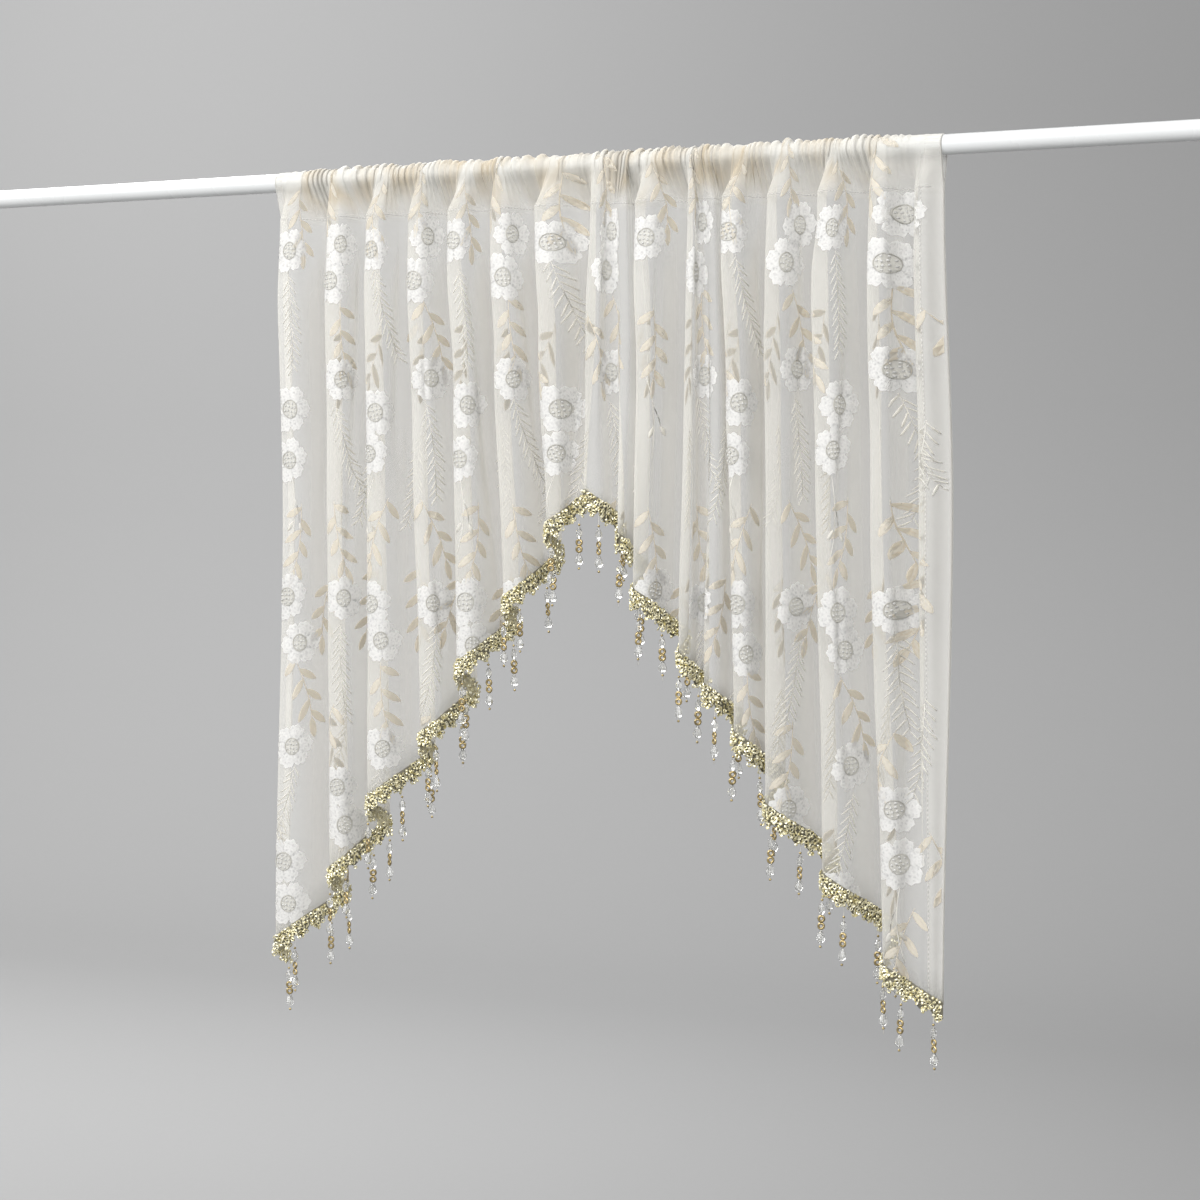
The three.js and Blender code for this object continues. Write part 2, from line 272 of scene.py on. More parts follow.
# Leaf sprays, feathered sprigs and stems, with angles in degrees
SPRAY_LENGTH = 0.086
SPRAY_BEND = 0.010
LEAF_LENGTH = 0.0275
LEAF_WIDTH = 0.0088
TIP_LEAF = (0.0240, 0.0078)
LEAF_CROWN = 0.0002
LEAF_TAPER = 0.85
LEAF_POINT = 0.55
LEAF_EDGE = 0.0008
LEAF_FULL = 0.96
LEAF_HALF = 0.50
LEAF_BOW = 0.23
LEAF_SPREAD = 54.0
LEAF_CLOSES = 20.0
TIP_ANGLE = -96.0
SPRIG_LENGTH = 0.118
SPRIG_BEND = 0.016
BARB_LENGTH = 0.0195
BARB_WIDTH = 0.0021
BARB_CROWN = 0.0007
BARB_TAPER = 0.8
BARB_SPREAD = 40.0
SPRIG_ANGLE = -97.0
STEM_LENGTH = 0.100
STEM_BEND = 0.012
STEM_WIDTH = 0.0011
FINE_STEM_WIDTH = 0.0010
STEM_LEAF_POINT = 0.5
STEM_BRANCH = ((0.008, -0.030), (0.014, -0.040), (0.019, -0.052), (0.021, -0.062))
# Leaves of a stem: length, width, angle and place
STEM_LEAVES = ((0.015, 0.0062, -120.0, 0.009, -0.062), (0.013, 0.0058, -60.0, 0.021, -0.062))

# Seam stitches
SEAM_STITCH = 0.0042
SEAM_GAP = 0.0014
SEAM_WIDTH = 0.0006
SEAM_CROWN = 0.0002
SEAM_MARGIN = 0.006
SEAM_INSET = 0.0015

# The braid's tape, whose net's front face is darkened as painted shade, and its sequins, whose rows are in
# sequin pitches
TAPE_COLUMNS = 420
TAPE_ROWS = 5
TAPE_OVERLAP = 0.003
TAPE_LIFT = 0.0007
TAPE_THICKNESS = 0.0005
TAPE_END_GAP = 0.0004
NET_PITCH = 0.0022
NET_PAINTED_SHADE = 0.18
SEQUIN_RINGS = (0.0026, 0.0023)
SEQUIN_TUBE = 0.0009
SEQUIN_CUP = 0.0054
SEQUIN_BEAD = 0.0042
SEQUIN_ROW = 0.86
SEQUIN_ASIDE = 0.0012
SEQUIN_DOWN = 0.0013
SEQUIN_LIFT = (0.0010, 0.0026)
SEQUIN_TILT = 0.75
SEQUIN_OVERHANG = 0.0015
SEQUIN_END_GAP = 0.001
SEQUIN_ABOVE_HEM = 0.001
# Radius and height of a cupped sequin's section, for a half width and a width of 1
CUP_PROFILE = ((0.0, -0.12), (0.55, -0.05), (1.0, 0.14), (0.86, 0.22), (0.45, 0.08), (0.0, 0.03))
BEAD_FLATNESS = 0.9

# A bead strand: heights below its root, and how strands differ
SEED_AT = 0.012
BICONE_AT = 0.0225
FIRST_RING_AT = 0.0338
SECOND_RING_AT = 0.0422
PEAR_AT = 0.0545
TIP_AT = 0.0660
SEED_BEAD = 0.0034
STRAND_RING = (0.0033, 0.0015)
CORD_PITCH = 0.0008
STRAND_TILT = math.radians(2.5)
STRAND_TURN = (-0.7, 0.9)
STRAND_LENGTH = (0.90, 1.06)
# Radius and height of the turned beads and of the thread
BICONE_PROFILE = ((0.0, 0.0072), (0.0014, 0.0070), (0.0041, 0.0022), (0.0041, -0.0022), (0.0014, -0.0070),
                  (0.0, -0.0072))
PEAR_PROFILE = ((0.0, 0.0076), (0.0014, 0.0074), (0.0036, 0.0036), (0.0052, -0.0014), (0.0048, -0.0044),
                (0.0024, -0.0070), (0.0, -0.0074))
THREAD_PROFILE = ((0.0, 0.002), (0.00028, 0.0019), (0.00028, -TIP_AT - 0.0005), (0.0, -TIP_AT - 0.0008))

# Shares of light that pass to the other side, what makes the cloth denser or painted darker between the
# folds, and the glass
CLOTH_PASSES = 0.38
THREAD_PASSES = 0.54
LACE_PASSES = 0.48
UNDERSIDE_PASSES = 0.85
POCKET_DENSER = 1.1
CREVICE_DENSER = 0.7
CREVICE_SHADE = 0.52
LEAST_SLANT = 0.06
GLASS_INDEX = 1.46
GLASS_CLEAR = 0.88

# The camera, the lights and the paper
CAMERA_SPOT = (2.300, -2.989, -0.415)
CAMERA_PITCH = math.radians(87.92)
CAMERA_HEADING = math.radians(24.71)
CAMERA_LENS = 80.0
CAMERA_SENSOR = 36.0
CAMERA_SEES_TO = 60.0
FLOOR_HEIGHT = -2.05
# Lights: name, place, the point it faces and its size
LIGHTS = (
    ("key", (2.3, -3.5, 2.0), (CURTAIN_MIDDLE, 0.0, -0.5), 3.0),
    ("fill", (-1.6, -3.6, 1.6), (CURTAIN_MIDDLE, 0.0, -0.5), 3.0),
    ("back", (-2.0, 2.6, 2.2), (0.6, 0.0, -0.4), 2.0),
    ("wash", (-4.9, 1.6, 2.2), (-3.7, 6.5, 0.5), 3.0),
    ("floor", (-1.0, 3.0, 1.1), (-1.0, 3.0, FLOOR_HEIGHT), 2.5),
)
PAPER_HALF_WIDTH = 9.0
PAPER_FRONT = -7.0
PAPER_FLOOR = 12.0
PAPER_BEND = 2.0
PAPER_HEIGHT = 4.5


def ease(value):
    """A smooth step from 0 to 1."""
    held = np.clip(value, 0.0, 1.0)
    return held * held * (3.0 - 2.0 * held)


def plan(place, level, spread, sway, flatness=PANEL_FLATNESS):
    """The cloth seen from above: place counts folds, level runs from the stitching to the hem."""
    fold = np.minimum(place.astype(int), FOLD_COUNT - 1)
    part = place - fold
    low = ease((level - LEVEL_AS_TABLED) / (1.0 - LEVEL_AS_TABLED))
    high = 1.0 - ease(level / LEVEL_AS_TABLED)

    def valley_of(number):
        return CREST[number] + TOP_SHIFT[number] * high + HEM_SHIFT[number] * low - LEFT_FLANK[number]

    valley = valley_of(fold)
    pitch = valley_of(fold + 1) - valley
    nearest = np.where(part < 0.5, fold, fold + 1)
    front = FRONT[fold] + (HEM_FRONT[fold] - FRONT[fold]) * low
    back = BACK[nearest] + (HEM_BACK[nearest] - BACK[nearest]) * low
    swing = -np.cos(2.0 * np.pi * part)
    rise = (1.0 + swing * (1.0 + flatness * (1.0 - swing * swing))) / 2.0
    skew = LEFT_FLANK[fold] - pitch / 2.0
    curl = FLANK_CURL * np.sin(4.0 * np.pi * part) * np.minimum(pitch / FULL_CURL_PITCH, 1.0)
    x = CURTAIN_MIDDLE + valley + pitch * part + (skew * rise + curl) * spread
    y = (back - (front + back) * rise) * spread - sway
    return x, y


def pucker(place):
    """Uneven small pleats, about six to a fold: how far each stands out, and its step sideways."""
    turn = PUCKERS_PER_FOLD * place + 0.60 * np.sin(1.7 * place + 0.4) + 0.50 * np.sin(4.3 * place + 1.9)
    height = PUCKER_HEIGHT + PUCKER_HEIGHT_VARIES * np.sin(2.6 * place + 0.7) * np.sin(5.9 * place + 0.3)
    lean = np.sin(0.83 * place + 0.5)
    swing = -np.cos(2.0 * np.pi * turn)
    stand = height * (0.5 + 0.5 * swing) ** PUCKER_SHARPNESS
    step = PUCKER_PINCH * np.sin(4.0 * np.pi * turn) + PUCKER_LEAN * lean * swing
    return stand, step


def grid_normals(points):
    """Outward normals of a grid of points whose rows run down the cloth."""
    across = np.cross(np.gradient(points, axis=0), np.gradient(points, axis=1))
    return across / np.linalg.norm(across, axis=-1, keepdims=True)


def between(values, column):
    """Values of a grid read between its columns."""
    first = np.clip(np.floor(column).astype(int), 0, values.shape[1] - 2)
    rest = (column - first)[None, :, None]
    return values[:, first] * (1.0 - rest) + values[:, first + 1] * rest


class HungCloth:
    """The curtain's surface on a grid of rows and columns, read anywhere in flat measure."""

    def __init__(self, sizes):
        self.stitch_drop = sizes.stitch_drop
        self.peak_drop = sizes.peak_drop
        self.side_drop = sizes.side_drop
        self.steps = np.linspace(0.0, FOLD_COUNT, FOLD_COUNT * ARC_STEPS + 1)
        # Flat measure runs along the folds at the hem
        x, y = plan(self.steps, np.ones_like(self.steps), spread=1.0, sway=0.0, flatness=0.0)
        self.arc = np.concatenate(([0.0], np.cumsum(np.hypot(np.diff(x), np.diff(y)))))
        self.width = self.arc[-1]
        self.peak = np.interp(PEAK_PLACE, self.steps, self.arc)
        left = np.linspace(0.0, self.peak, LEFT_COLUMNS)
        right = np.linspace(self.peak, self.width, RIGHT_COLUMNS)
        self.across = np.concatenate((left, right[1:]))
        self.place = np.interp(self.across, self.arc, self.steps)
        self.shares = np.linspace(0.0, 1.0, HANGING_ROWS + 1) ** ROW_CROWDING
        hanging = self.hang()
        pocket = self.wrap(hanging[0])
        self.points = np.concatenate((pocket[::-1], hanging))
        self.pocket_rows = len(pocket)
        self.crease()
        self.normals = grid_normals(self.points)
        lengths = np.linalg.norm(np.diff(self.points[:self.pocket_rows + 1], axis=0), axis=-1).mean(axis=1)
        self.pocket_downs = -np.cumsum(lengths[::-1])[::-1]

    def reach(self, across):
        """Length of hanging cloth from the stitching to the hem."""
        side = np.where(across < self.peak, self.peak, self.width - self.peak)
        rise = (self.side_drop - self.peak_drop) * np.abs(across - self.peak) / side
        return self.peak_drop + rise - self.stitch_drop

    def hang(self):
        """Rows of the hanging cloth below the stitching."""
        share = self.shares[:, None]
        down = share * self.reach(self.across)
        spread = FOLD_AT_STITCH + (1.0 - FOLD_AT_STITCH) * ease(down / FOLD_OPENS_OVER)
        self.gather = ease(np.minimum(self.across, self.width - self.across) / GATHER_STARTS_OVER)
        self.fanned = self.place + CROWN_FAN * np.sin(2.0 * np.pi * self.place) / (2.0 * np.pi) * self.gather
        stand, step = pucker(self.fanned)
        self.bulge = stand * self.gather
        self.step = PUCKER_SIDESTEP * step * self.gather
        self.panel = np.abs(np.sin(np.pi * self.place))
        fades_over = PUCKER_FADES_OVER + PUCKER_FADE_VARIES * np.sin(3.7 * self.place + 1.0)
        survive = ease(0.55 + 0.75 * np.sin(2.17 * self.place + 0.9) * np.sin(5.1 * self.place))
        softer = (PUCKER_KEPT_AT_HEM - PUCKER_KEPT_AT_TOP) * ease(down / PUCKER_SOFTENS_OVER)
        kept = survive * (PUCKER_KEPT_AT_TOP + softer)
        fresh = PUCKER_AT_STITCH * (1.0 - PANEL_CALM * self.panel) * (1.0 - ease(down / fades_over))
        left_over = np.maximum(kept * PUCKER_AT_STITCH, fresh)
        sway = PUCKER_SWAY * (self.bulge - 0.5 * self.gather) * left_over
        x, y = plan(self.place, share, spread, sway)
        x = x + self.step * left_over
        return np.stack((x, y, -(self.stitch_drop + down)), axis=-1)

    def wrap(self, seam):
        """Rows of the rod pocket, from just above the seam in front, over the rod, to behind the seam."""
        seam_x, seam_y = seam[:, 0], seam[:, 1]
        crown_x = plan(self.fanned, np.zeros_like(self.place), spread=0.0, sway=0.0)[0] + self.step
        slant = PUCKER_SLANT * np.sin(2.3 * self.place + 1.3) * np.sin(0.9 * self.place) * self.gather
        low = np.full_like(seam_x, -self.stitch_drop)
        rows = []
        front_y, front_z = self.round_rod(POCKET_FROM)
        for share in np.linspace(0.0, 1.0, POCKET_STRAIGHT_ROWS + 1)[1:-1]:
            rows.append((seam_y + (front_y - seam_y) * share, low + (front_z - low) * share))
        for angle in np.linspace(POCKET_FROM, POCKET_TO, POCKET_ROUND_ROWS):
            rows.append(self.round_rod(angle))
        back_y, back_z = rows[-1]
        sewn_y = seam_y + POCKET_LAYER_GAP
        for share in np.linspace(0.0, 1.0, POCKET_STRAIGHT_ROWS + 1)[1:]:
            rows.append((back_y + (sewn_y - back_y) * share, back_z + (low - back_z) * share))
        rows.append((sewn_y, low - SEAM_ALLOWANCE))
        over = [np.clip((z - low) / self.stitch_drop, 0.0, 1.0) for _, z in rows]
        across = [seam_x + (crown_x - seam_x) * part + slant * part for part in over]
        return np.stack([np.stack((x, y, z), axis=-1) for x, (y, z) in zip(across, rows)])

    def round_rod(self, angle):
        """The gathered cloth's path over the rod at one angle from the front."""
        calm = PANEL_CALM * self.panel * (1.0 - ease((angle - CALM_FROM) / (CALM_UP_TO - CALM_FROM)))
        upright = 1.0 + PUCKER_LIFT_VARIES * (math.sin(angle) - 1.0)
        lift = PUCKER_LIFT * self.bulge * upright * (1.0 - calm)
        radius = ROD_RADIUS + POCKET_EASE + lift
        return -radius * math.cos(angle), radius * math.sin(angle)

    def crease(self):
        """Adds soft troughs and ridges to the hanging cloth, along its normals."""
        hanging = self.points[self.pocket_rows:]
        down = -hanging[..., 2] - self.stitch_drop
        ripple = np.sin(46.0 * self.across + 9.0 * down) * np.sin(21.0 * down + 2.3 * self.place)
        depth = WRINKLE_DEPTH * ripple
        for spot, start, end, half_width, height in CREASES:
            drift = CREASE_DRIFT * np.sin(5.0 * down + spot)
            line = np.exp(-((self.place - spot - drift) / half_width) ** 2)
            ends = ease((down - start) / CREASE_STARTS_OVER) * ease((end - down) / CREASE_ENDS_OVER)
            depth = depth + height * line * ends
        depth = depth * self.gather * ease(down / CREASE_STARTS_OVER)
        hanging += grid_normals(self.points)[self.pocket_rows:] * depth[..., None]

    def painted_fold_shading(self):
        """Painted shade between two folds, from 0 to 1, and below 0 a painted bright line of denser cloth
        along a fold's left edge.
        """
        valley = np.rint(self.place)
        offset = self.place - valley
        down = np.clip(-self.points[..., 2] - self.stitch_drop, -self.stitch_drop, None)
        opened = ease(down / FOLD_OPENS_OVER)
        above = np.clip(-down / self.stitch_drop, 0.0, 1.0)
        wide = CREVICE_NARROWS_TO + (1.0 - CREVICE_NARROWS_TO) * opened
        left = ease((offset + CREVICE_FROM * wide) / ((CREVICE_FROM - CREVICE_FULL) * wide))
        right = 1.0 - ease(offset / (CREVICE_RIGHT * wide + CREVICE_OPENS * above))
        uneven = 1.0 + CREVICE_VARIES * (np.sin(5.3 * valley + 1.0) - 1.0)
        line = left * right * uneven * self.gather
        open_below = CREVICE_AT_STITCH + (1.0 - CREVICE_AT_STITCH) * opened
        # A painted bright line along the fold's left edge, carried as negative values
        edge = np.exp(-((offset - EDGE_AT) / EDGE_WIDE) ** 2) * self.gather * opened
        strength = 1.0 + EDGE_VARIES * (np.sin(3.1 * valley + 0.6) - 1.0)
        return line * open_below * (1.0 - CREVICE_FADES_ABOVE * above * above) - edge * strength

    def read(self, across, down):
        """Points and normals of the cloth at places given in flat measure."""
        column = np.interp(across, self.across, np.arange(len(self.across)))
        share = np.clip(down / self.reach(across), 0.0, 1.0) ** (1.0 / ROW_CROWDING)
        above = np.interp(down, np.append(self.pocket_downs, 0.0), np.arange(self.pocket_rows + 1))
        row = np.where(down < 0.0, above, self.pocket_rows + share * HANGING_ROWS)
        r0 = np.clip(row.astype(int), 0, len(self.points) - 2)
        c0 = np.clip(column.astype(int), 0, len(self.across) - 2)
        r, c = (row - r0)[:, None], (column - c0)[:, None]
        found = []
        for values in (self.points, self.normals):
            upper = values[r0, c0] * (1.0 - c) + values[r0, c0 + 1] * c
            lower = values[r0 + 1, c0] * (1.0 - c) + values[r0 + 1, c0 + 1] * c
            found.append(upper * (1.0 - r) + lower * r)
        return found[0], found[1] / np.linalg.norm(found[1], axis=-1, keepdims=True)

    def below_hem(self, across, drop, lift):
        """Points that hang from the hem by a drop and stand off it by a lift."""
        base, normal = self.read(across, self.reach(across))
        normal[:, 2] = 0.0
        normal /= np.linalg.norm(normal, axis=-1, keepdims=True)
        points = base + normal * np.asarray(lift)[..., None]
        points[:, 2] -= drop
        return points, normal

    def with_turned_edges(self):
        """The grid with its side hems turned to the back, and its flat measure."""
        count = len(self.across)
        flat_down = np.empty(self.points.shape[:2])
        flat_down[:self.pocket_rows] = self.pocket_downs[:, None]
        flat_down[self.pocket_rows:] = self.shares[:, None] * self.reach(self.across)
        flat = np.stack((np.broadcast_to(self.across, flat_down.shape), flat_down), axis=-1)
        turn_left = TURN_STEP * np.arange(LEFT_TURN_STEPS, 0, -1)
        turn_right = self.width - TURN_STEP * np.arange(1, RIGHT_TURN_STEPS + 1)
        sides = []
        for edges in (turn_left, turn_right):
            column = np.interp(edges, self.across, np.arange(count))
            behind = between(self.normals, column) * TURN_GAP
            turned = between(flat, column)
            edge = 0.0 if edges is turn_left else self.width
            turned[..., 0] = 2.0 * edge - turned[..., 0]
            sides.append((between(self.points, column) - behind, turned))
        points = np.concatenate((sides[0][0], self.points, sides[1][0]), axis=1)
        flat = np.concatenate((sides[0][1], flat, sides[1][1]), axis=1)
        return points, flat


def sum_of(operation, swapped=False):
    """A method that joins a wire with a number or a second wire by one kind of sum."""

    def method(self, other=0.0):
        first, second = (other, self) if swapped else (self, other)
        return self.finish.node("ShaderNodeMath", {"operation": operation}, {0: first, 1: second})

    return method


class Wire:
    """A shader socket that takes part in sums."""

    __add__ = sum_of("ADD")
    __radd__ = sum_of("ADD", swapped=True)
    __sub__ = sum_of("SUBTRACT")
    __rsub__ = sum_of("SUBTRACT", swapped=True)
    __mul__ = sum_of("MULTIPLY")
    __rmul__ = sum_of("MULTIPLY", swapped=True)
    __truediv__ = sum_of("DIVIDE")
    __rtruediv__ = sum_of("DIVIDE", swapped=True)
    __pow__ = sum_of("POWER")
    __abs__ = sum_of("ABSOLUTE")
    at_least = sum_of("MAXIMUM")
    sine = sum_of("SINE")

    def __init__(self, finish, socket):
        self.finish = finish
        self.socket = socket

    def wave(self, pitch):
        """A wave from 0 to 1 along a measure."""
        return (self * (2.0 * math.pi / pitch)).sine() * 0.5 + 0.5

    def clamp(self):
        return self.finish.node("ShaderNodeClamp", {}, {0: self})


class Finish:
    """A procedural material in the making."""

    def __init__(self, name):
        self.material = bpy.data.materials.new(name)
        self.material.use_nodes = True
        self.tree = self.material.node_tree
        self.tree.nodes.clear()
        self.output = self.tree.nodes.new("ShaderNodeOutputMaterial")

    def node(self, kind, settings=None, sockets=None, out=0):
        """Adds a node of any type: its settings first, then the values or links of its sockets."""
        made = self.tree.nodes.new(kind)
        for key, value in (settings or {}).items():
            setattr(made, key, value)
        for key, value in (sockets or {}).items():
            if isinstance(value, Wire):
                self.tree.links.new(value.socket, made.inputs[key])
            else:
                made.inputs[key].default_value = value
        return Wire(self, made.outputs[out])

    def blend(self, share, first, second):
        """A colour between two colours."""
        ends = [end if isinstance(end, Wire) else opaque(end) for end in (first, second)]
        return self.node("ShaderNodeMix", {"data_type": "RGBA"}, {0: share, 6: ends[0], 7: ends[1]}, out=2)

    def noise(self, vector, scale, detail=2.0):
        return self.node("ShaderNodeTexNoise", {}, {"Vector": vector, "Scale": scale, "Detail": detail})

    def stretched(self, vector, scale):
        """A vector with each axis scaled on its own."""
        return self.node("ShaderNodeMapping", {"vector_type": "POINT"}, {"Vector": vector, "Scale": scale})

    def place(self):
        return self.node("ShaderNodeTexCoord", out=3)

    def cells(self, size):
        """Distance to the edges of small uneven cells."""
        sockets = {"Vector": self.place(), "Scale": 1.0 / size}
        return self.node("ShaderNodeTexVoronoi", {"feature": "DISTANCE_TO_EDGE"}, sockets)

    def uv(self, name):
        """The two measures of a UV map, and the map itself."""
        vector = self.node("ShaderNodeUVMap", {"uv_map": name})
        first = self.node("ShaderNodeSeparateXYZ", {}, {0: vector})
        second = Wire(self, first.socket.node.outputs[1])
        return first, second, vector

    def bump(self, height, distance, strength=1.0):
        return self.node("ShaderNodeBump", {}, {"Height": height, "Distance": distance, "Strength": strength})

    def lit(self, sockets):
        return self.node("ShaderNodeBsdfPrincipled", {}, sockets)

    def mix(self, share, first, second):
        """A surface between two surfaces."""
        return self.node("ShaderNodeMixShader", {}, {0: share, 1: first, 2: second})

    def passing(self, share, lit, colour):
        """A surface that passes a share of the light on to its other side."""
        return self.mix(share, lit, self.node("ShaderNodeBsdfTranslucent", {}, {"Color": opaque(colour)}))

    def open_round(self, cover, body):
        """A surface that is clear where nothing covers it."""
        return self.mix(cover, self.node("ShaderNodeBsdfTransparent"), body)

    def done(self, surface):
        self.tree.links.new(surface.socket, self.output.inputs["Surface"])
        return self.material


def opaque(colour):
    """A colour with full alpha."""
    return (*colour, 1.0)


def darker(colour, share):
    """A colour brought down to a share of itself."""
    return [value * share for value in colour]


def new_piece(name, mesh, materials, smooth=True):
    """Puts a mesh in the scene as a piece of the curtain."""
    piece = bpy.data.objects.new(name, mesh)
    bpy.context.scene.collection.objects.link(piece)
    for material in materials:
        mesh.materials.append(material)
    if smooth:
        mesh.shade_smooth()
    else:
        mesh.shade_flat()
    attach(piece, "root")
    return piece


def thicken(piece, thickness, material_offset=0):
    """Gives a sheet its thickness, half to each side."""
    wall = piece.modifiers.new("thickness", "SOLIDIFY")
    wall.thickness = thickness
    wall.offset = 0.0
    wall.material_offset = material_offset


def mesh_from(bm, name):
    """Turns a finished bmesh into a mesh and frees it."""
    mesh = bpy.data.meshes.new(name)
    bm.to_mesh(mesh)
    bm.free()
    return mesh


def coordinates(mesh):
    """All vertex places of a mesh, one row each."""
    values = np.empty(len(mesh.vertices) * 3, dtype=np.float32)
    mesh.vertices.foreach_get("co", values)
    return values.reshape(-1, 3).astype(float)


def move_to(mesh, points):
    mesh.vertices.foreach_set("co", np.ascontiguousarray(points, dtype=np.float32).ravel())
    mesh.update()


def lay_on(cloth, mesh):
    """Moves a mesh made in flat measure onto the hung cloth."""
    flat = coordinates(mesh)
    points, normals = cloth.read(flat[:, 0], -flat[:, 1])
    move_to(mesh, points + normals * flat[:, 2:3])


def gridded(name, points, flat, painted_shades=None):
    """A mesh grid moved to the given points, with the cloth's flat measure as its UV map."""
    rows, columns = points.shape[:2]
    bm = bmesh.new()
    bmesh.ops.create_grid(bm, x_segments=columns - 1, y_segments=rows - 1, size=1.0)
    mesh = mesh_from(bm, name)
    if len(mesh.vertices) != rows * columns:
        raise RuntimeError(f"{name}: the grid has {len(mesh.vertices)} points, not {rows * columns}")
    start = coordinates(mesh)
    column = np.rint((start[:, 0] + 1.0) / 2.0 * (columns - 1)).astype(int)
    row = np.rint((1.0 - start[:, 1]) / 2.0 * (rows - 1)).astype(int)
    move_to(mesh, points[row, column])
    corners = np.empty(len(mesh.loops), dtype=np.int32)
    mesh.loops.foreach_get("vertex_index", corners)
    layer = mesh.uv_layers.new(name="flat")
    layer.uv.foreach_set("vector", flat[row, column][corners].astype(np.float32).ravel())
    # The painted shade between the folds and the painted bright fold edges go on as a point attribute
    if painted_shades is not None:
        crevice = mesh.attributes.new("crevice", "FLOAT", "POINT")
        crevice.data.foreach_set("value", painted_shades[row, column].astype(np.float32))
    return mesh


def stitch_map(bm):
    """The UV map with each patch's own measure in metres."""
    return bm.loops.layers.uv.get("stitch") or bm.loops.layers.uv.new("stitch")


def close_below(bm, first_face, below):
    """Doubles a raised patch downwards, closes it and marks its underside."""
    bm.faces.ensure_lookup_table()
    bmesh.ops.extrude_face_region(bm, geom=bm.faces[first_face:], use_keep_orig=True)
    for vert in below:
        vert.co.z = -STITCH_BELOW
    bm.faces.ensure_lookup_table()
    faces = bm.faces[first_face:]
    bmesh.ops.recalc_face_normals(bm, faces=faces)
    for face in faces:
        face.material_index = int(face.normal.z < UNDERSIDE_SLOPE)
    return faces


def patch(bm, length, width, crown, cells, taper=1.0, point=0.0, bow=0.0, turn=None):
    """A crowned patch of satin stitch from the origin along x, closed below, with its own stitch map."""
    layer = stitch_map(bm)
    first_face, first_vert = len(bm.faces), len(bm.verts)
    below = bmesh.ops.create_grid(bm, x_segments=cells[0], y_segments=cells[1], size=0.5)["verts"]
    for vert in below:
        along = (1.0 - math.cos(math.pi * (vert.co.x + 0.5))) / 2.0
        across = 2.0 * vert.co.y
        ends = max(1.0 - (2.0 * along - 1.0) ** 2, STITCH_END ** 2) ** 0.5
        narrow = (taper + (1.0 - taper) * along) * (1.0 - point * (2.0 * along - 1.0) ** 4)
        side = across * width / 2.0 * ends * narrow + bow * math.sin(math.pi * along)
        vert.co = Vector((along * length, side, STITCH_RIM + crown * (1.0 - across * across) * ends))
    for face in close_below(bm, first_face, below):
        for loop in face.loops:
            loop[layer].uv = loop.vert.co.xy
    if turn is not None:
        bm.verts.ensure_lookup_table()
        bmesh.ops.transform(bm, matrix=turn, verts=bm.verts[first_vert:])


def knot(bm, spot, size):
    """A small stitched knot."""
    flattened = Matrix.Diagonal((1.0, 1.0, KNOT_FLATNESS, 1.0))
    matrix = Matrix.Translation((spot[0], spot[1], KNOT_LIFT)) @ flattened
    bmesh.ops.create_icosphere(bm, subdivisions=1, radius=size / 2.0, matrix=matrix)


def turned(degrees, x=0.0, y=0.0):
    """A turn in the flat cloth and then a move."""
    return Matrix.Translation((x, y, 0.0)) @ Matrix.Rotation(math.radians(degrees), 4, "Z")


def stroke(bm, points, width):
    """A raised line of stitching through points of the flat cloth."""
    layer = stitch_map(bm)
    first_face = len(bm.faces)
    frames = []
    last = len(points) - 1
    for number, spot in enumerate(points):
        before = points[max(number - 1, 0)]
        after = points[min(number + 1, last)]
        along = Vector((after[0] - before[0], after[1] - before[1], 0.0)).normalized()
        side = Vector((-along.y, along.x, 0.0))
        thin = STROKE_END if number in (0, last) else 1.0
        rows = (side * width * thin, Vector((0.0, 0.0, STROKE_HEIGHT * thin)), along)
        turn = Matrix(rows).transposed().to_4x4()
        frames.append(Matrix.Translation((spot[0], spot[1], STROKE_LIFT)) @ turn)
    made = bmesh.ops.create_circle(bm, cap_ends=True, segments=STROKE_SIDES, radius=0.5)["verts"]
    face = made[0].link_faces[0]
    bmesh.ops.transform(bm, matrix=frames[0], verts=made)
    for number in range(1, len(frames)):
        grown = bmesh.ops.extrude_face_region(bm, geom=[face], use_keep_orig=number == 1)["geom"]
        face = next(part for part in grown if isinstance(part, bmesh.types.BMFace))
        step = frames[number] @ frames[number - 1].inverted()
        bmesh.ops.transform(bm, matrix=step, verts=face.verts)
    bm.faces.ensure_lookup_table()
    faces = bm.faces[first_face:]
    bmesh.ops.recalc_face_normals(bm, faces=faces)
    for made_face in faces:
        for loop in made_face.loops:
            loop[layer].uv = (loop.vert.co.x + loop.vert.co.y, loop.vert.co.z)


def flower_petals(lobes, radius):
    """A white lacy ring of ruffled lobes round an open middle."""
    bm = bmesh.new()
    layer = stitch_map(bm)
    inner = radius * FLOWER_OPENING
    bmesh.ops.create_grid(bm, x_segments=LACE_CELLS[0], y_segments=LACE_CELLS[1], size=0.5)
    for face in bm.faces:
        for loop in face.loops:
            loop[layer].uv = ((loop.vert.co.y + 0.5) * LACE_DEEP, (loop.vert.co.x + 0.5) * LACE_ROUND)
    for vert in bm.verts:
        turn = 2.0 * math.pi * (vert.co.x + 0.5)
        share = vert.co.y + 0.5
        lobe = abs(math.cos(lobes * turn / 2.0)) ** LOBE_ROUNDNESS
        size = 1.0 + FLOWER_UNEVEN * math.sin(2.0 * turn + 0.7)
        outer = radius * size * (LOBE_ROOT + LOBE_TIP * lobe + LOBE_RUFFLE * math.cos(3.0 * lobes * turn))
        reach = inner + (outer - inner) * share
        rise = STITCH_RIM + LOBE_SWELL * lobe * math.sin(math.pi * share) + RIM_CURL * share ** 3
        vert.co = Vector((reach * math.cos(turn), reach * math.sin(turn), rise))
    bmesh.ops.remove_doubles(bm, verts=bm.verts, dist=SAME_PLACE)
    close_below(bm, 0, bm.verts[:])
    return mesh_from(bm, "petals")


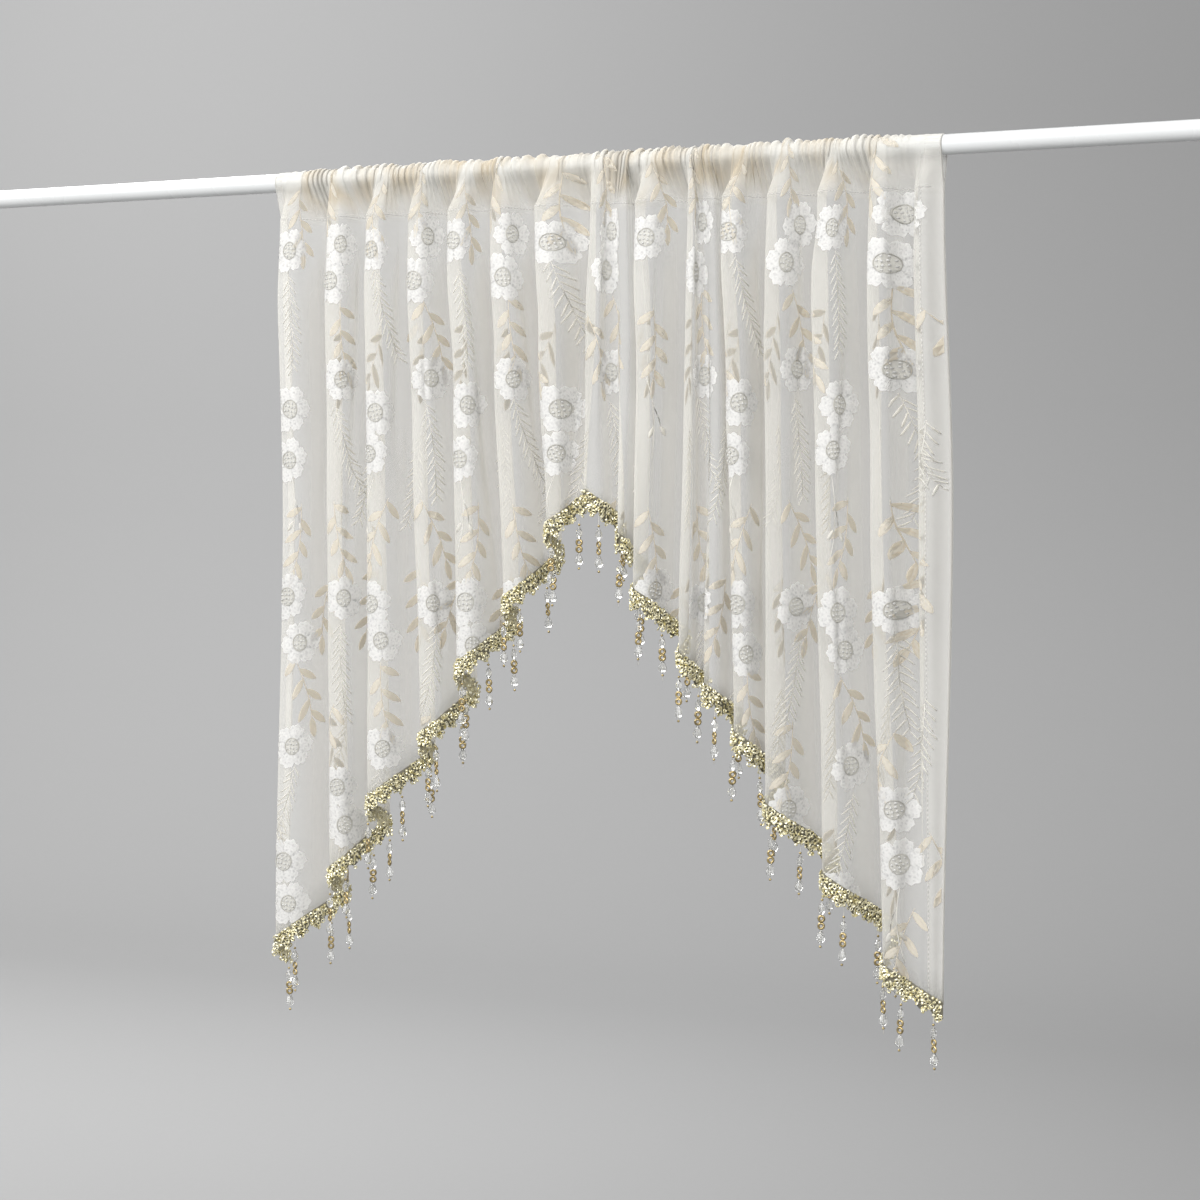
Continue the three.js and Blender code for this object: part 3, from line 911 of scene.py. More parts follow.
def flower_knots(radius):
    """White knots on a flower's middle."""
    bm = bmesh.new()
    for count, share, size in KNOT_RINGS:
        for number in range(count):
            angle = 2.0 * math.pi * (number + 0.3) / count
            knot(bm, (radius * share * math.cos(angle), radius * share * math.sin(angle)), size)
    return mesh_from(bm, "knots")


def flower_middle(radius):
    """The netted ground of a flower's middle."""
    bm = bmesh.new()
    size = radius * MIDDLE_SIZE
    patch(bm, size, size, MIDDLE_CROWN, (5, 4), turn=turned(0.0, -size / 2.0))
    return mesh_from(bm, "middle")


def flower_ring(radius):
    """The ring round a flower's middle."""
    return hoop(radius * RING_AT, RING_TUBE, 14, RING_LIFT)


def spun(bm, geometry, steps, merge):
    """The mesh of a line or ring turned once about the z axis."""
    bmesh.ops.spin(bm, geom=geometry, cent=(0, 0, 0), axis=(0, 0, 1), angle=2.0 * math.pi, steps=steps,
                   use_merge=True)
    bmesh.ops.remove_doubles(bm, verts=bm.verts, dist=merge)
    bmesh.ops.recalc_face_normals(bm, faces=bm.faces)
    return mesh_from(bm, "turned")


def hoop(radius, tube, steps, lift=0.0):
    """A small ring of round section that lies flat."""
    bm = bmesh.new()
    made = bmesh.ops.create_circle(bm, segments=4, radius=tube)["verts"]
    stand = Matrix.Translation((radius, 0.0, lift)) @ Matrix.Rotation(math.pi / 2.0, 4, "X")
    bmesh.ops.transform(bm, matrix=stand, verts=made)
    edges = list(dict.fromkeys(edge for vert in made for edge in vert.link_edges))
    return spun(bm, made + edges, steps, 2.0 * SAME_PLACE)


def lathed(profile, sides):
    """A small turned form from (radius, height) points, closed at both ends."""
    bm = bmesh.new()
    verts = [bm.verts.new((radius, 0.0, height)) for radius, height in profile]
    edges = [bm.edges.new(pair) for pair in zip(verts, verts[1:])]
    return spun(bm, verts + edges, sides, SAME_PLACE)


def cup_sequin(size):
    """A small cupped disc with a rolled edge."""
    return lathed([(radius * size / 2.0, height * size) for radius, height in CUP_PROFILE], 7)


def round_bead(size):
    """A faceted round bead."""
    half = size / 2.0
    angles = np.linspace(0.0, math.pi, 6)
    profile = [(half * math.sin(angle), -half * BEAD_FLATNESS * math.cos(angle)) for angle in angles]
    profile[0] = (0.0, profile[0][1])
    profile[-1] = (0.0, profile[-1][1])
    return lathed(profile, 8)


def leaf(bm, length, width, turn, outline):
    """A leaf of two bowed halves with its vein between them, or the darker stitching that edges it."""
    form = {"cells": (6, 2), "taper": LEAF_TAPER, "point": LEAF_POINT}
    if outline:
        edge = turn @ Matrix.Translation((-LEAF_EDGE, 0.0, 0.0))
        patch(bm, length + 2.0 * LEAF_EDGE, width * LEAF_FULL + 2.0 * LEAF_EDGE, 0.0, turn=edge, **form)
        return
    for side in (-1.0, 1.0):
        patch(bm, length, width * LEAF_HALF, LEAF_CROWN, bow=side * width * LEAF_BOW, turn=turn, **form)


def leaf_spray(leaves, outline=False):
    """A bent stem with leaves to both sides, growing downwards from the origin."""
    bm = bmesh.new()

    def stem(share):
        return SPRAY_BEND * math.sin(2.2 * share), -SPRAY_LENGTH * share

    if outline:
        stroke(bm, [stem(share) for share in np.linspace(0.0, 1.0, 8)], STEM_WIDTH)
    for number in range(leaves):
        share = 0.06 + 0.82 * number / (leaves - 1)
        side = 1.0 if number % 2 else -1.0
        angle = -90.0 + side * (LEAF_SPREAD - LEAF_CLOSES * share)
        length = LEAF_LENGTH * (1.0 - 0.16 * math.sin(2.7 * number))
        leaf(bm, length, LEAF_WIDTH, turned(angle, *stem(share)), outline)
    leaf(bm, *TIP_LEAF, turned(TIP_ANGLE, *stem(1.0)), outline)
    return mesh_from(bm, "spray")


def feather_sprig(barbs):
    """A long feathered sprig growing downwards from the origin."""
    bm = bmesh.new()

    def spine(share):
        return -SPRIG_BEND * share * share, -SPRIG_LENGTH * share

    stroke(bm, [spine(share) for share in np.linspace(0.0, 1.0, 9)], FINE_STEM_WIDTH)
    for number in range(barbs):
        share = 0.04 + 0.94 * number / (barbs - 1)
        x, y = spine(share)
        length = BARB_LENGTH * (0.62 + 0.50 * math.sin(math.pi * (0.12 + 0.80 * share)))
        for side in (-1.0, 1.0):
            drop = SPRIG_LENGTH / barbs * 0.25 * side
            angle = SPRIG_ANGLE + side * (BARB_SPREAD + 6.0 * math.sin(2.1 * number + side))
            turn = turned(angle, x, y + drop)
            patch(bm, length, BARB_WIDTH, BARB_CROWN, (4, 2), taper=BARB_TAPER, turn=turn)
    return mesh_from(bm, "sprig")


def long_stem():
    """A thin curved stem with one branch and two small leaves, growing downwards from the origin."""
    bm = bmesh.new()
    shares = np.linspace(0.0, 1.0, 10)
    stroke(bm, [(STEM_BEND * math.sin(2.6 * share), -STEM_LENGTH * share) for share in shares], STEM_WIDTH)
    stroke(bm, STEM_BRANCH, FINE_STEM_WIDTH)
    for length, width, angle, x, y in STEM_LEAVES:
        turn = turned(angle, x, y)
        patch(bm, length, width, BARB_CROWN, (5, 2), taper=LEAF_TAPER, point=STEM_LEAF_POINT, turn=turn)
    return mesh_from(bm, "stem")


def joined(copies):
    """One bmesh of template copies, each moved by its own matrix, joined group by group."""
    bm = bmesh.new()
    if len(copies) > COPIES_IN_GROUP:
        for start in range(0, len(copies), COPIES_IN_GROUP):
            group = mesh_from(joined(copies[start:start + COPIES_IN_GROUP]), "group")
            bm.from_mesh(group)
            bpy.data.meshes.remove(group)
        return bm
    for template, matrix in copies:
        first_vert, first_face = len(bm.verts), len(bm.faces)
        bm.from_mesh(template)
        bm.verts.ensure_lookup_table()
        bmesh.ops.transform(bm, matrix=matrix, verts=bm.verts[first_vert:])
        if matrix.determinant() < 0.0:
            bm.faces.ensure_lookup_table()
            bmesh.ops.reverse_faces(bm, faces=bm.faces[first_face:])
    return bm


def cut_off(bm, point, outwards):
    """Cuts away what lies outside a line of the flat cloth and closes the cut."""
    parts = bm.verts[:] + bm.edges[:] + bm.faces[:]
    cut = bmesh.ops.bisect_plane(bm, geom=parts, dist=0.000001, plane_co=point, plane_no=outwards,
                                 clear_outer=True)["geom_cut"]
    edges = [part for part in cut if isinstance(part, bmesh.types.BMEdge) and part.is_boundary]
    if edges:
        bmesh.ops.holes_fill(bm, edges=edges, sides=0)


def motifs(cloth, forms):
    """Where the forms of some kinds of motif fall on the flat cloth: form, matrix and reach."""
    found = []
    for number, (across, run) in enumerate(COLUMNS):
        for order, (kind, drop, shift, tilt) in enumerate(RUNS[run]):
            if kind not in forms:
                continue
            x = across + shift + MOTIF_WANDER * math.sin(2.3 * number + 1.7 * order)
            y = cloth.stitch_drop - drop + MOTIF_WANDER * math.sin(1.3 * number + 2.9 * order)
            reach = MOTIF_REACH[kind]
            if cloth.reach(np.array([min(max(x, 0.0), cloth.width)]))[0] + reach < -y:
                continue
            turn = tilt + MOTIF_TURN * math.sin(3.1 * number + order)
            flip = -1.0 if number % 4 in (1, 2) else 1.0
            found.append((forms[kind], turned(turn, x, y) @ Matrix.Diagonal((flip, 1.0, 1.0, 1.0)), reach))
    return found


def stitched(cloth, name, forms):
    """Motifs joined in flat measure, trimmed to the cloth's outline and laid on its folds."""
    whole = bmesh.new()
    copies = motifs(cloth, forms)
    peak_spot = (cloth.peak, -(cloth.peak_drop - cloth.stitch_drop) + HEM_MARGIN, 0.0)
    halves = ((-1.0, SIDE_MARGIN, cloth.peak), (1.0, cloth.width - SIDE_MARGIN, cloth.width - cloth.peak))
    for side, edge, width in halves:
        near = [(form, matrix) for form, matrix, reach in copies
                if side * (matrix.translation.x - cloth.peak) > -reach]
        bm = joined(near)
        slope = (cloth.side_drop - cloth.peak_drop) / width
        cut_off(bm, (cloth.peak, 0.0, 0.0), (-side, 0.0, 0.0))
        cut_off(bm, (edge, 0.0, 0.0), (side, 0.0, 0.0))
        cut_off(bm, peak_spot, Vector((-side * slope, -1.0, 0.0)).normalized())
        mesh = mesh_from(bm, "half")
        whole.from_mesh(mesh)
        bpy.data.meshes.remove(mesh)
    mesh = mesh_from(whole, name)
    lay_on(cloth, mesh)
    return mesh


def paint(name, colour):
    """Glossy paint on a metal tube, with a faint ripple and dulled patches."""
    finish = Finish(name)
    place = finish.place()
    patches = finish.noise(place, scale=9.0, detail=4.0)
    ripple = finish.noise(finish.stretched(place, (0.25, 1.0, 1.0)), scale=420.0)
    return finish.done(finish.lit({
        "Base Color": finish.blend(patches, colour, darker(colour, 0.95)), "Roughness": 0.22 + 0.10 * patches,
        "Coat Weight": 0.35, "Coat Roughness": 0.12, "Normal": finish.bump(ripple, distance=0.00004)}))


def sheer_weave(name, sizes, width, pocket_length):
    """A plain sheer weave in the flat cloth's own measure: denser where the light passes it aslant, with
    painted shade between the folds and a painted bright line along each fold's edge.
    """
    finish = Finish(name)
    across, down, flat = finish.uv("flat")
    threads = 1.0 - (1.0 - across.wave(sizes.thread_pitch)) * (1.0 - down.wave(sizes.thread_pitch))
    streaks = finish.noise(finish.stretched(flat, (150.0, 4.0, 1.0)), scale=1.0, detail=1.0)
    inside = (across / GATHER_STARTS_OVER).clamp() * ((width - across) / GATHER_STARTS_OVER).clamp()
    pocket = (down * -32.0 + 0.1).clamp() * inside
    turned_in = 0.12 + 0.88 * ((down + pocket_length) * 20.0).clamp()
    patches = (finish.noise(flat, scale=15.0, detail=1.0) * 4.5 - 2.0).clamp() * pocket
    facing = finish.node("ShaderNodeLayerWeight", {}, {"Blend": 0.5}, out=1)
    slant = (1.0 - facing).at_least(LEAST_SLANT)
    # Painted shade from the hung cloth's point attribute: above 0 in the valleys between the folds, below 0 a
    # painted bright line along each fold's left edge; either way the cloth is made denser there
    crevice = finish.node("ShaderNodeAttribute", {"attribute_name": "crevice"}, out=2)
    weave = sizes.opacity * (0.74 + 0.40 * threads + 0.08 * streaks)
    cover = weave * (1.0 + POCKET_DENSER * pocket) * (1.0 + CREVICE_DENSER * abs(crevice)) * turned_in
    hides = 1.0 - (1.0 - cover.clamp()) ** (1.0 / slant)
    warm = finish.blend((patches * 0.85 + pocket * 0.06).clamp(), sizes.colour, sizes.pocket_colour)
    # Painted shade: the valleys between the folds are darkened towards 0.55 of the pocket colour
    shade = finish.blend((crevice * CREVICE_SHADE).clamp(), warm, darker(sizes.pocket_colour, 0.55))
    lit = finish.lit({
        "Base Color": shade, "Roughness": 0.42 + 0.16 * streaks, "Sheen Weight": 0.25, "Sheen Roughness": 0.4,
        "Specular IOR Level": 0.35, "Normal": finish.bump(threads, distance=0.0001, strength=0.5)})
    return finish.done(finish.open_round(hides, finish.passing(CLOTH_PASSES, lit, sizes.colour)))


def satin_thread(name, colour, second, stitch_pitch=STITCH_PITCH, net_cell=0.0):
    """Silky stitching along each patch's own stitch map, with darker cells where it is netted."""
    finish = Finish(name)
    _, side, own_measure = finish.uv("stitch")
    lines = side.wave(stitch_pitch)
    wander = finish.noise(finish.stretched(own_measure, (300.0, 1400.0, 1.0)), scale=1.0)
    broad = finish.noise(finish.place(), scale=16.0)
    fine = finish.noise(finish.place(), scale=900.0, detail=1.0)
    shade = finish.blend((broad * 2.4 - 0.7).clamp(), colour, second)
    shade = finish.blend(lines * 0.35 + fine * 0.15, shade, darker(colour, 0.82))
    height = lines * 0.7 + wander * 0.5
    if net_cell:
        hole = (finish.cells(net_cell) * 4.0 - 0.45).clamp()
        shade = finish.blend(hole * 0.6, shade, darker(colour, 0.76))
        height = height * 0.4 - hole * 1.2
    lit = finish.lit({
        "Base Color": shade, "Roughness": 0.36 + 0.20 * wander, "Sheen Weight": 0.3, "Sheen Roughness": 0.35,
        "Normal": finish.bump(height, distance=0.0003, strength=0.7)})
    return finish.done(finish.passing(THREAD_PASSES, lit, colour))


def lace(name, colour, cell, lobes):
    """White lace with a fine open ground, faint lines between its lobes and a closer rim."""
    finish = Finish(name)
    along, side, _ = finish.uv("stitch")
    fine = finish.noise(finish.place(), scale=330.0)
    rim = ((along - LACE_DEEP * 0.80) * (7.0 / LACE_DEEP)).clamp()
    lobe = (side * (math.pi * lobes / LACE_ROUND) + math.pi / 2.0).sine()
    between_lobes = (1.0 - 8.0 * lobe * lobe).clamp()
    hole = (finish.cells(cell) * 4.0 - 0.35).clamp()
    ground = (hole * 0.45 + (fine * 2.0 - 0.8) * 0.75 + between_lobes * 0.35).clamp() * (1.0 - 0.6 * rim)
    lit = finish.lit({
        "Base Color": finish.blend(ground, colour, darker(colour, 0.50)), "Roughness": 0.45 + 0.2 * fine,
        "Sheen Weight": 0.15, "Sheen Roughness": 0.4, "Specular IOR Level": 0.3,
        "Normal": finish.bump(fine * 0.4 - ground, distance=0.0004, strength=0.6)})
    return finish.done(finish.passing(LACE_PASSES - 0.30 * ground, lit, colour))


def underside(name, colour):
    """The plain back of the stitching, which lets most of the light through."""
    finish = Finish(name)
    fine = finish.noise(finish.place(), scale=700.0)
    lit = finish.lit({
        "Base Color": finish.blend(fine * 0.5, colour, darker(colour, 0.85)), "Roughness": 0.55 + 0.2 * fine,
        "Normal": finish.bump(fine, distance=0.0002, strength=0.5)})
    return finish.done(finish.passing(UNDERSIDE_PASSES, lit, colour))


def gilt(name, pale, deep, metal, roughness, grain):
    """Gilt metal whose colour changes at random between pale and deep: partly a real change of tone, partly
    painted glints and painted dark reflections.
    """
    finish = Finish(name)
    place = finish.place()
    tone = finish.noise(place, scale=grain, detail=1.0)
    scuff = finish.noise(place, scale=grain * 6.0)
    return finish.done(finish.lit({
        "Base Color": finish.blend((tone * 2.6 - 0.65).clamp(), deep, pale), "Metallic": metal,
        "Roughness": roughness + 0.22 * scuff, "Normal": finish.bump(scuff, distance=0.0001, strength=0.4)}))


def net_tape(name, colour, hole_pitch):
    """A net ground seen between the beads of the braid."""
    finish = Finish(name)
    across, down, flat = finish.uv("flat")
    first = ((across + down) * (math.pi / hole_pitch)).sine()
    second = ((across - down) * (math.pi / hole_pitch)).sine()
    fibre = finish.noise(flat, scale=900.0)
    lit = finish.lit({
        "Base Color": finish.blend(fibre, colour, darker(colour, 0.8)), "Roughness": 0.5 + 0.2 * fibre,
        "Sheen Weight": 0.2, "Normal": finish.bump(fibre, distance=0.0002, strength=0.6)})
    return finish.done(finish.open_round((1.0 - 0.55 * (first * first * second * second)).clamp(), lit))


def crystal(name, colour):
    """Clear cut glass with faint streaks."""
    finish = Finish(name)
    streak = finish.noise(finish.place(), scale=220.0)
    return finish.done(finish.lit({
        "Base Color": opaque(colour), "Roughness": 0.02 + 0.06 * streak, "IOR": GLASS_INDEX,
        "Transmission Weight": GLASS_CLEAR, "Normal": finish.bump(streak, distance=0.00005, strength=0.3)}))


def studio(name, colour):
    """Matt seamless paper with a very faint grain."""
    finish = Finish(name)
    grain = finish.noise(finish.place(), scale=60.0, detail=3.0)
    return finish.done(finish.lit({
        "Base Color": finish.blend(grain, colour, darker(colour, 0.985)), "Roughness": 0.85 + 0.1 * grain,
        "Specular IOR Level": 0.2}))


def length(name, description, default):
    """A setting in metres."""
    return FloatProperty(name=name, description=description, default=default, precision=5, unit="LENGTH")


def tint(name, description, default):
    """A setting that holds a colour."""
    return FloatVectorProperty(name=name, description=description, default=default, subtype="COLOR")


def power(name, description, default):
    """A setting that holds a light's power."""
    return FloatProperty(name=name, description=description, default=default, unit="POWER")


class ClothSettings(bpy.types.PropertyGroup):
    """Sizes and colours of the cloth and the rod's paint."""

    side_drop: length("Side drop", "Rod axis to hem at the sides", 1.0)
    peak_drop: length("Peak drop", "Rod axis to hem at the arch's top", 0.4)
    stitch_drop: length("Stitch drop", "Rod axis to the pocket's stitching", 0.048)
    thickness: length("Thickness", "Thickness of the sheer cloth", 0.0004)
    opacity: FloatProperty(name="Opacity", description="Share of one face that hides what is behind",
                           default=0.158, subtype="FACTOR", min=0.0, max=1.0)
    thread_pitch: length("Thread pitch", "Distance between threads of the weave", 0.0007)
    colour: tint("Cloth", "Colour of the sheer cloth", (0.94, 0.925, 0.875))
    # The pocket colour also gives the painted shade between the folds, at 0.55 of itself
    pocket_colour: tint("Pocket", "Warmer patches on the rod pocket", (0.76, 0.64, 0.46))
    rod_colour: tint("Rod paint", "Colour of the rod's paint", (0.64, 0.65, 0.65))


class ThreadSettings(bpy.types.PropertyGroup):
    """Sizes and colours of the embroidery."""

    flower_radius: length("Flower radius", "From a flower's middle to its tips", 0.0296)
    bloom_radius: length("Large flower radius", "The same for the larger flower", 0.0318)
    lobes: IntProperty(name="Lobes", description="Lobes of one flower", default=6, min=5, max=9)
    leaves: IntProperty(name="Leaves", description="Side leaves of one spray", default=6, min=2, max=12)
    barbs: IntProperty(name="Barbs", description="Pairs of barbs on one sprig", default=12, min=6, max=30)
    white: tint("White thread", "Colour of the petals", (0.93, 0.925, 0.91))
    cream: tint("Cream thread", "Colour of sprigs and stems", (0.96, 0.94, 0.88))
    peach: tint("Peach thread", "Colour of the leaves", (0.97, 0.935, 0.855))
    tan: tint("Tan thread", "Second colour of the leaves", (0.94, 0.88, 0.77))
    edging: tint("Edging thread", "Colour of the leaves' edges and stems", (0.90, 0.835, 0.72))
    net: tint("Net thread", "Colour of the flowers' netted middles", (0.88, 0.87, 0.83))
    grey: tint("Grey thread", "Colour of the rings round the middles", (0.80, 0.785, 0.73))


class TrimSettings(bpy.types.PropertyGroup):
    """Sizes and colours of the braid and the bead strands."""

    height: length("Braid height", "Hem to the braid's lower edge", 0.0145)
    scallop: length("Scallop", "Extra height at each scallop", 0.0090)
    scallop_pitch: length("Scallop pitch", "Distance between scallops", 0.023)
    sequin_pitch: length("Sequin pitch", "Distance between sequins", 0.0053)
    strand_pitch: length("Strand pitch", "Flat distance between strands", 0.040)
    strand_edge: length("First strand", "Flat distance from the edge to a strand", 0.014)
    root_drop: length("Strand root", "Hem to the top of a strand", 0.019)
    # Pale and deep gilt: partly a real change of tone, partly painted glints and painted dark reflections
    pale_gilt: tint("Pale gilt", "Lighter gilt", (0.99, 0.95, 0.74))
    deep_gilt: tint("Deep gilt", "Darker gilt", (0.48, 0.40, 0.13))
    bead_gilt: tint("Bead gilt", "Gilt of the strands' small rings", (0.56, 0.44, 0.22))
    net: tint("Net", "Colour of the braid's net ground", (0.95, 0.87, 0.60))


class StageSettings(bpy.types.PropertyGroup):
    """The floor, the lights and the paper behind."""

    floor: length("Floor", "Height of the floor", FLOOR_HEIGHT)
    paper: tint("Paper", "Colour of the floor and backdrop", (0.264, 0.264, 0.264))
    key_power: power("Key light", "Power of the key light", 156.0)
    fill_power: power("Fill light", "Power of the fill light", 164.0)
    back_power: power("Back light", "Power of the light behind the cloth", 55.0)
    wash_power: power("Wash light", "Power of the light on the backdrop", 450.0)
    floor_power: power("Floor light", "Power of the light on the floor", 64.0)
    sky: FloatProperty(name="Sky", description="Strength of the even light all round", default=0.60)


class CURTAIN_OT_set_stage(bpy.types.Operator):
    """Set up the camera, the lights, the floor and the backdrop"""

    bl_idname = "curtain.set_stage"
    bl_label = "Set stage"

    def execute(self, context):
        scene = context.scene
        settings = scene.curtain_stage
        scene.view_settings.view_transform = "Standard"
        scene.cycles.transparent_max_bounces = 24
        scene.cycles.max_bounces = 5
        scene.cycles.diffuse_bounces = 1
        self.add_camera(scene)
        for name, spot, target, size in LIGHTS:
            self.add_light(scene, name, spot, target, size, getattr(settings, name + "_power"))
        self.add_sky(scene, settings.sky)
        self.add_paper(scene, settings)
        return {"FINISHED"}

    def add_camera(self, scene):
        camera = bpy.data.cameras.new("camera")
        camera.lens = CAMERA_LENS
        camera.sensor_width = CAMERA_SENSOR
        camera.clip_end = CAMERA_SEES_TO
        holder = bpy.data.objects.new("camera", camera)
        holder.location = CAMERA_SPOT
        holder.rotation_euler = (CAMERA_PITCH, 0.0, CAMERA_HEADING)
        scene.collection.objects.link(holder)
        scene.camera = holder

    def add_light(self, scene, name, spot, target, size, energy):
        light = bpy.data.lights.new(name, "AREA")
        light.energy = energy
        light.size = size
        holder = bpy.data.objects.new(name, light)
        holder.location = spot
        aim = Vector(target) - Vector(spot)
        holder.rotation_euler = aim.to_track_quat("-Z", "Y").to_euler()
        holder.visible_camera = False
        scene.collection.objects.link(holder)

    def add_sky(self, scene, strength):
        world = bpy.data.worlds.new("even_light")
        world.use_nodes = True
        even = world.node_tree.nodes["Background"]
        even.inputs["Color"].default_value = (1.0, 1.0, 1.0, 1.0)
        even.inputs["Strength"].default_value = strength
        scene.world = world

    def add_paper(self, scene, settings):
        """One sheet of paper that runs back over the floor and sweeps up far behind."""
        bm = bmesh.new()
        bmesh.ops.create_grid(bm, x_segments=2, y_segments=48, size=1.0)
        turn = math.pi / 2.0 * PAPER_BEND
        for vert in bm.verts:
            run = (vert.co.y + 1.0) / 2.0 * (PAPER_FLOOR + turn + PAPER_HEIGHT)
            angle = min(max(run - PAPER_FLOOR, 0.0), turn) / PAPER_BEND
            rise = max(run - PAPER_FLOOR - turn, 0.0)
            y = PAPER_FRONT + min(run, PAPER_FLOOR) + PAPER_BEND * math.sin(angle)
            z = settings.floor + PAPER_BEND * (1.0 - math.cos(angle)) + rise
            vert.co = Vector((CURTAIN_MIDDLE + vert.co.x * PAPER_HALF_WIDTH, y, z))
        mesh = mesh_from(bm, "paper")
        mesh.shade_smooth()
        mesh.materials.append(studio("seamless_paper", settings.paper))
        paper = bpy.data.objects.new("paper", mesh)
        scene.collection.objects.link(paper)


class CURTAIN_OT_paint_rod(bpy.types.Operator):
    """Paint the rod glossy white"""

    bl_idname = "curtain.paint_rod"
    bl_label = "Paint rod"

    def execute(self, context):
        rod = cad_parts["rod"]
        rod.data.materials.clear()
        rod.data.materials.append(paint("white_rod_paint", context.scene.curtain_cloth.rod_colour))
        return {"FINISHED"}


class CURTAIN_OT_hang_cloth(bpy.types.Operator):
    """Hang the sheer cloth on the rod in its folds"""

    bl_idname = "curtain.hang_cloth"
    bl_label = "Hang cloth"

    def execute(self, context):
        sizes = context.scene.curtain_cloth
        hung = HungCloth(sizes)
        points, flat = hung.with_turned_edges()
        weave = sheer_weave("sheer_weave", sizes, float(hung.width), float(-hung.pocket_downs[0]))
        # Painted shade between the folds and painted bright fold edges, none on the turned side hems
        painted_shades = np.pad(hung.painted_fold_shading(), ((0, 0), (LEFT_TURN_STEPS, RIGHT_TURN_STEPS)))
        cloth = new_piece("cloth", gridded("cloth", points, flat, painted_shades), (weave,))
        thicken(cloth, sizes.thickness)
        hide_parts("curtain")
        return {"FINISHED"}


class CURTAIN_OT_embroider_flowers(bpy.types.Operator):
    """Embroider the white flowers and their netted middles"""

    bl_idname = "curtain.embroider_flowers"
    bl_label = "Embroider flowers"

    def execute(self, context):
        threads = context.scene.curtain_threads
        cloth = HungCloth(context.scene.curtain_cloth)
        white = lace("white_lace_thread", threads.white, LACE_CELL, threads.lobes)
        plain = satin_thread("white_knot_thread", threads.white, threads.white)
        net = satin_thread("middle_net_thread", threads.net, threads.grey, NET_STITCH, NET_CELL)
        grey = satin_thread("grey_ring_thread", threads.grey, threads.grey)
        back = underside("flower_underside", threads.white)

        def lobed(radius):
            return flower_petals(threads.lobes, radius)

        rows = (
            ("petals", lobed, (white, back), "thread_white", False),
            ("flower_middles", flower_middle, (net, back), "thread_beige", False),
            ("flower_rings", flower_ring, (grey,), "thread_beige", True),
            ("flower_knots", flower_knots, (plain,), "thread_white", True),
        )
        for name, made, materials, slot, smooth in rows:
            forms = {"flower": made(threads.flower_radius), "bloom": made(threads.bloom_radius)}
            new_piece(name, stitched(cloth, name, forms), materials, smooth)
        return {"FINISHED"}


class CURTAIN_OT_embroider_leaves(bpy.types.Operator):
    """Embroider the leaf sprays, feathered sprigs and stems"""

    bl_idname = "curtain.embroider_leaves"
    bl_label = "Embroider leaves"

    def execute(self, context):
        threads = context.scene.curtain_threads
        cloth = HungCloth(context.scene.curtain_cloth)
        peach = satin_thread("peach_leaf_thread", threads.peach, threads.tan)
        cream = satin_thread("cream_sprig_thread", threads.cream, threads.white)
        edging = satin_thread("leaf_edge_thread", threads.edging, threads.tan)
        back = underside("leaf_underside", threads.peach)
        rows = (
            ("leaf_sprays", {"spray": leaf_spray(threads.leaves)}, peach, False),
            ("leaf_edges", {"spray": leaf_spray(threads.leaves, outline=True)}, edging, False),
            ("sprigs_and_stems", {"sprig": feather_sprig(threads.barbs), "stem": long_stem()}, cream, True),
        )
        for name, forms, thread, smooth in rows:
            new_piece(name, stitched(cloth, name, forms), (thread, back), smooth)
        return {"FINISHED"}


class CURTAIN_OT_stitch_seams(bpy.types.Operator):
    """Sew the pocket's line of stitching and the side hems"""

    bl_idname = "curtain.stitch_seams"
    bl_label = "Stitch seams"

    def execute(self, context):
        threads = context.scene.curtain_threads
        cloth = HungCloth(context.scene.curtain_cloth)
        bm = bmesh.new()
        patch(bm, SEAM_STITCH, SEAM_WIDTH, SEAM_CROWN, (2, 2))
        template = mesh_from(bm, "stitch")
        step = SEAM_STITCH + SEAM_GAP
        count = int((cloth.width - 2.0 * SEAM_MARGIN) / step)
        spots = [(template, turned(0.0, SEAM_MARGIN + number * step)) for number in range(count)]
        left = LEFT_TURN_STEPS * TURN_STEP - SEAM_INSET
        right = cloth.width - RIGHT_TURN_STEPS * TURN_STEP + SEAM_INSET
        for across in (left, right):
            drop = float(cloth.reach(np.array([across]))[0])
            for number in range(int((drop - SEAM_MARGIN) / step)):
                spots.append((template, turned(-90.0, across, -SEAM_MARGIN / 2.0 - number * step)))
        mesh = mesh_from(joined(spots), "seam_stitches")
        lay_on(cloth, mesh)
        white = satin_thread("seam_thread", threads.white, threads.cream, SEAM_WIDTH)
        back = underside("seam_underside", threads.white)
        new_piece("seam_stitches", mesh, (white, back))
        return {"FINISHED"}


